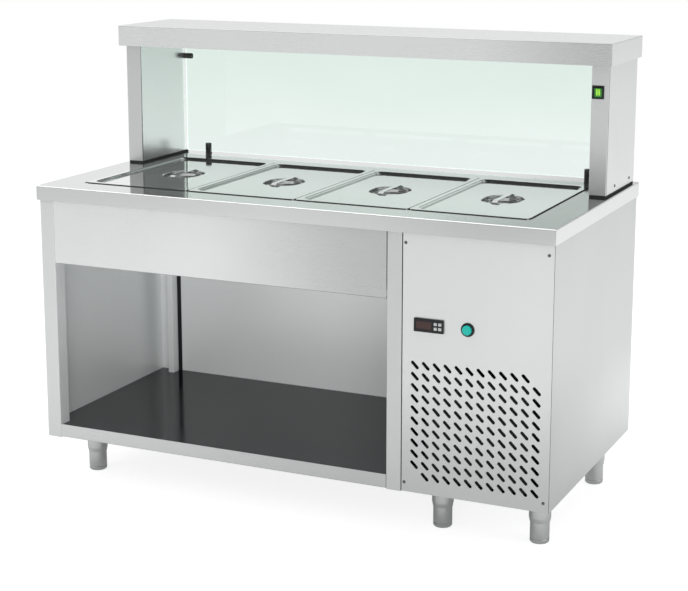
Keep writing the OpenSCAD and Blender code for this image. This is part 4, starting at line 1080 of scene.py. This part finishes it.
def lit_lens():
    """A green lens that glows, brightest along two upright lamps behind it."""
    material, place = new_finish("green_lens")
    off_x = (place.part(0) - switch_x).size()
    off_z = (place.part(2) - switch_z).size()
    lamp = 1.0 - (off_x - lamp_gap / 2).size().clamped(0.7 * mm, 2.0 * mm)
    lamp = lamp * (1.0 - off_z.clamped(6 * mm, 11.0 * mm))
    halo = (1.0 - off_x.clamped(3 * mm, 10 * mm)) * (1.0 - off_z.clamped(5 * mm, 12 * mm))
    haze = place.noise(420.0, 3.0)
    glow = 0.75 * lamp + 0.25 * halo
    return dress(material, {
        "Base Color": (glow + 0.1 * haze).tint((0.01, 0.09, 0.02), (0.10, 0.30, 0.03)),
        "Roughness": 0.2 + 0.08 * haze,
        "Emission Color": glow.tint((0.008, 0.09, 0.012), (0.46, 0.86, 0.06)),
        "Emission Strength": 0.85, "Normal": haze.bump(0.1, 0.0001)})


lamp_gap = 6 * mm
rocker_w, rocker_tilt = 21 * mm, math.radians(7)
# The rocker is made upright and level: two shallow faces that meet in the middle.
lower = [(5 * mm, -8 * mm), (-9 * mm, -11.8 * mm), (-10.5 * mm, -11.8 * mm), (-9.3 * mm, -6 * mm)]
outline = [*lower, (-8.6 * mm, 0), *((y, -z) for y, z in lower[::-1])]
lens = plate("lens", outline, -rocker_w / 2, rocker_w / 2, 0.5 * mm, 3, "X")
pivot_r, pivot_end = 2 * mm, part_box("switch_rocker")[1].x - switch_x
pivots = lathe("pivots", [(0, -pivot_end), (pivot_r, -pivot_end), (pivot_r, pivot_end),
                          (0, pivot_end)], (0, 0, 0), "X", 20)
rocker = joined("rocker_lens", [lens, pivots])
turned = Matrix.Rotation(rocker_tilt, 4, "X")
rocker.data.transform(Matrix.Translation((switch_x, col_f + 8 * mm, switch_z)) @ turned)
finished(rocker, lit_lens(), ["switch_rocker"], "switch_rocker")

# ---- Controller ----
# A panel-mounted thermostat: a black moulded bezel, a dark red display window and four small
# silver keys, clipped in the service panel from the front.
ctrl_lo, ctrl_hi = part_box("controller")
window_lo = (ctrl_lo.x + 6 * mm, ctrl_lo.y - 1 * mm, control_z - 10 * mm)
window_hi = (ctrl_lo.x + 48 * mm, ctrl_lo.y + 1.2 * mm, control_z + 10 * mm)
case = joined("controller_case", [
    soft_block("face", ctrl_lo, (ctrl_hi.x, front, ctrl_hi.z), 1.4 * mm, 3),
    soft_block("body", (ctrl_lo.x + 4.5 * mm, front - 1 * mm, ctrl_lo.z + 3 * mm),
               (ctrl_hi.x - 4.5 * mm, ctrl_hi.y, ctrl_hi.z - 3 * mm), 0.6 * mm, 1)])
cut(case, soft_block("window", window_lo, window_hi, 0.4 * mm, 2))
key_boxes = [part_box(f"key_{k}") for k in range(1, 5)]
gap, key_travel = 0.25 * mm, 1.4 * mm
for lo, hi in key_boxes:
    cut(case, soft_block("pocket", (lo.x - gap, ctrl_lo.y - 1 * mm, lo.z - gap),
                         (hi.x + gap, hi.y + key_travel, hi.z + gap), 0.2 * mm, 1))
finished(case, black_plastic, ["controller"])


def smoked_window():
    material, place = new_finish("display_window")
    cloud = place.noise(60.0, 3.0)
    dust = place.noise(1500.0, 2.0)
    return dress(material, {
        "Base Color": cloud.tint((0.018, 0.003, 0.002), (0.034, 0.007, 0.005)),
        "Roughness": 0.14 + 0.06 * dust, "Coat Weight": 0.2 + 0.1 * cloud})


inset = 0.2 * mm
window = soft_block(
    "display", (window_lo[0] + inset, ctrl_lo.y + 0.9 * mm, window_lo[2] + inset),
    (window_hi[0] - inset, ctrl_lo.y + 1.25 * mm, window_hi[2] - inset), 0.1 * mm, 1)
finished(window, smoked_window())
silver = plain_coat("key_silver", (0.46, 0.47, 0.47), (0.58, 0.59, 0.59), 0.34, 400.0, 0.5)
for k, (lo, hi) in enumerate(key_boxes, 1):
    finished(soft_block(f"silver_key_{k}", lo, hi, 0.6 * mm, 3), silver, [f"key_{k}"],
             f"key_{k}")

# ---- Push button ----
# A round green spring button, flush in a black threaded ring with its barrel behind the panel.
ring_lo, ring_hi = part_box("button_ring")
push_lo, push_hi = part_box("push_button")
button_at = ((ring_lo.x + ring_hi.x) / 2, 0, control_z)
ring_r = (ring_hi.x - ring_lo.x) / 2
cap_r = (push_hi.x - push_lo.x) / 2
ring_front = ring_lo.y
cap_back = front - 3.8 * mm
barrel_r = 11 * mm
ring_profile = [
    (0, front - 0.1 * mm), (cap_r + 0.3 * mm, front - 0.1 * mm),
    (cap_r + 0.3 * mm, ring_front + 0.5 * mm), (cap_r + 0.9 * mm, ring_front),
    (ring_r - 2.4 * mm, ring_front), (ring_r - 0.9 * mm, ring_front + 0.9 * mm),
    (ring_r - 0.2 * mm, ring_front + 2.6 * mm), (ring_r, front - 0.6 * mm),
    (ring_r - 0.3 * mm, front), (barrel_r, front), (barrel_r, ring_hi.y), (0, ring_hi.y)]
finished(lathe("threaded_ring", ring_profile, button_at, "Y"), black_plastic,
         ["button_ring"])
cap_profile = [
    (0, push_lo.y + 0.15 * mm), (cap_r - 4 * mm, push_lo.y + 0.08 * mm),
    (cap_r - 2 * mm, push_lo.y), (cap_r - 0.8 * mm, push_lo.y + 0.25 * mm),
    (cap_r, push_lo.y + 1.1 * mm), (cap_r, cap_back), (0, cap_back)]
teal = plain_coat("teal_plastic", (0.0, 0.34, 0.28), (0.0, 0.44, 0.36), 0.3, 150.0, 0.0, 0.05, 0.3)
finished(lathe("green_button", cap_profile, button_at, "Y"), teal,
         ["push_button"], "push_button")
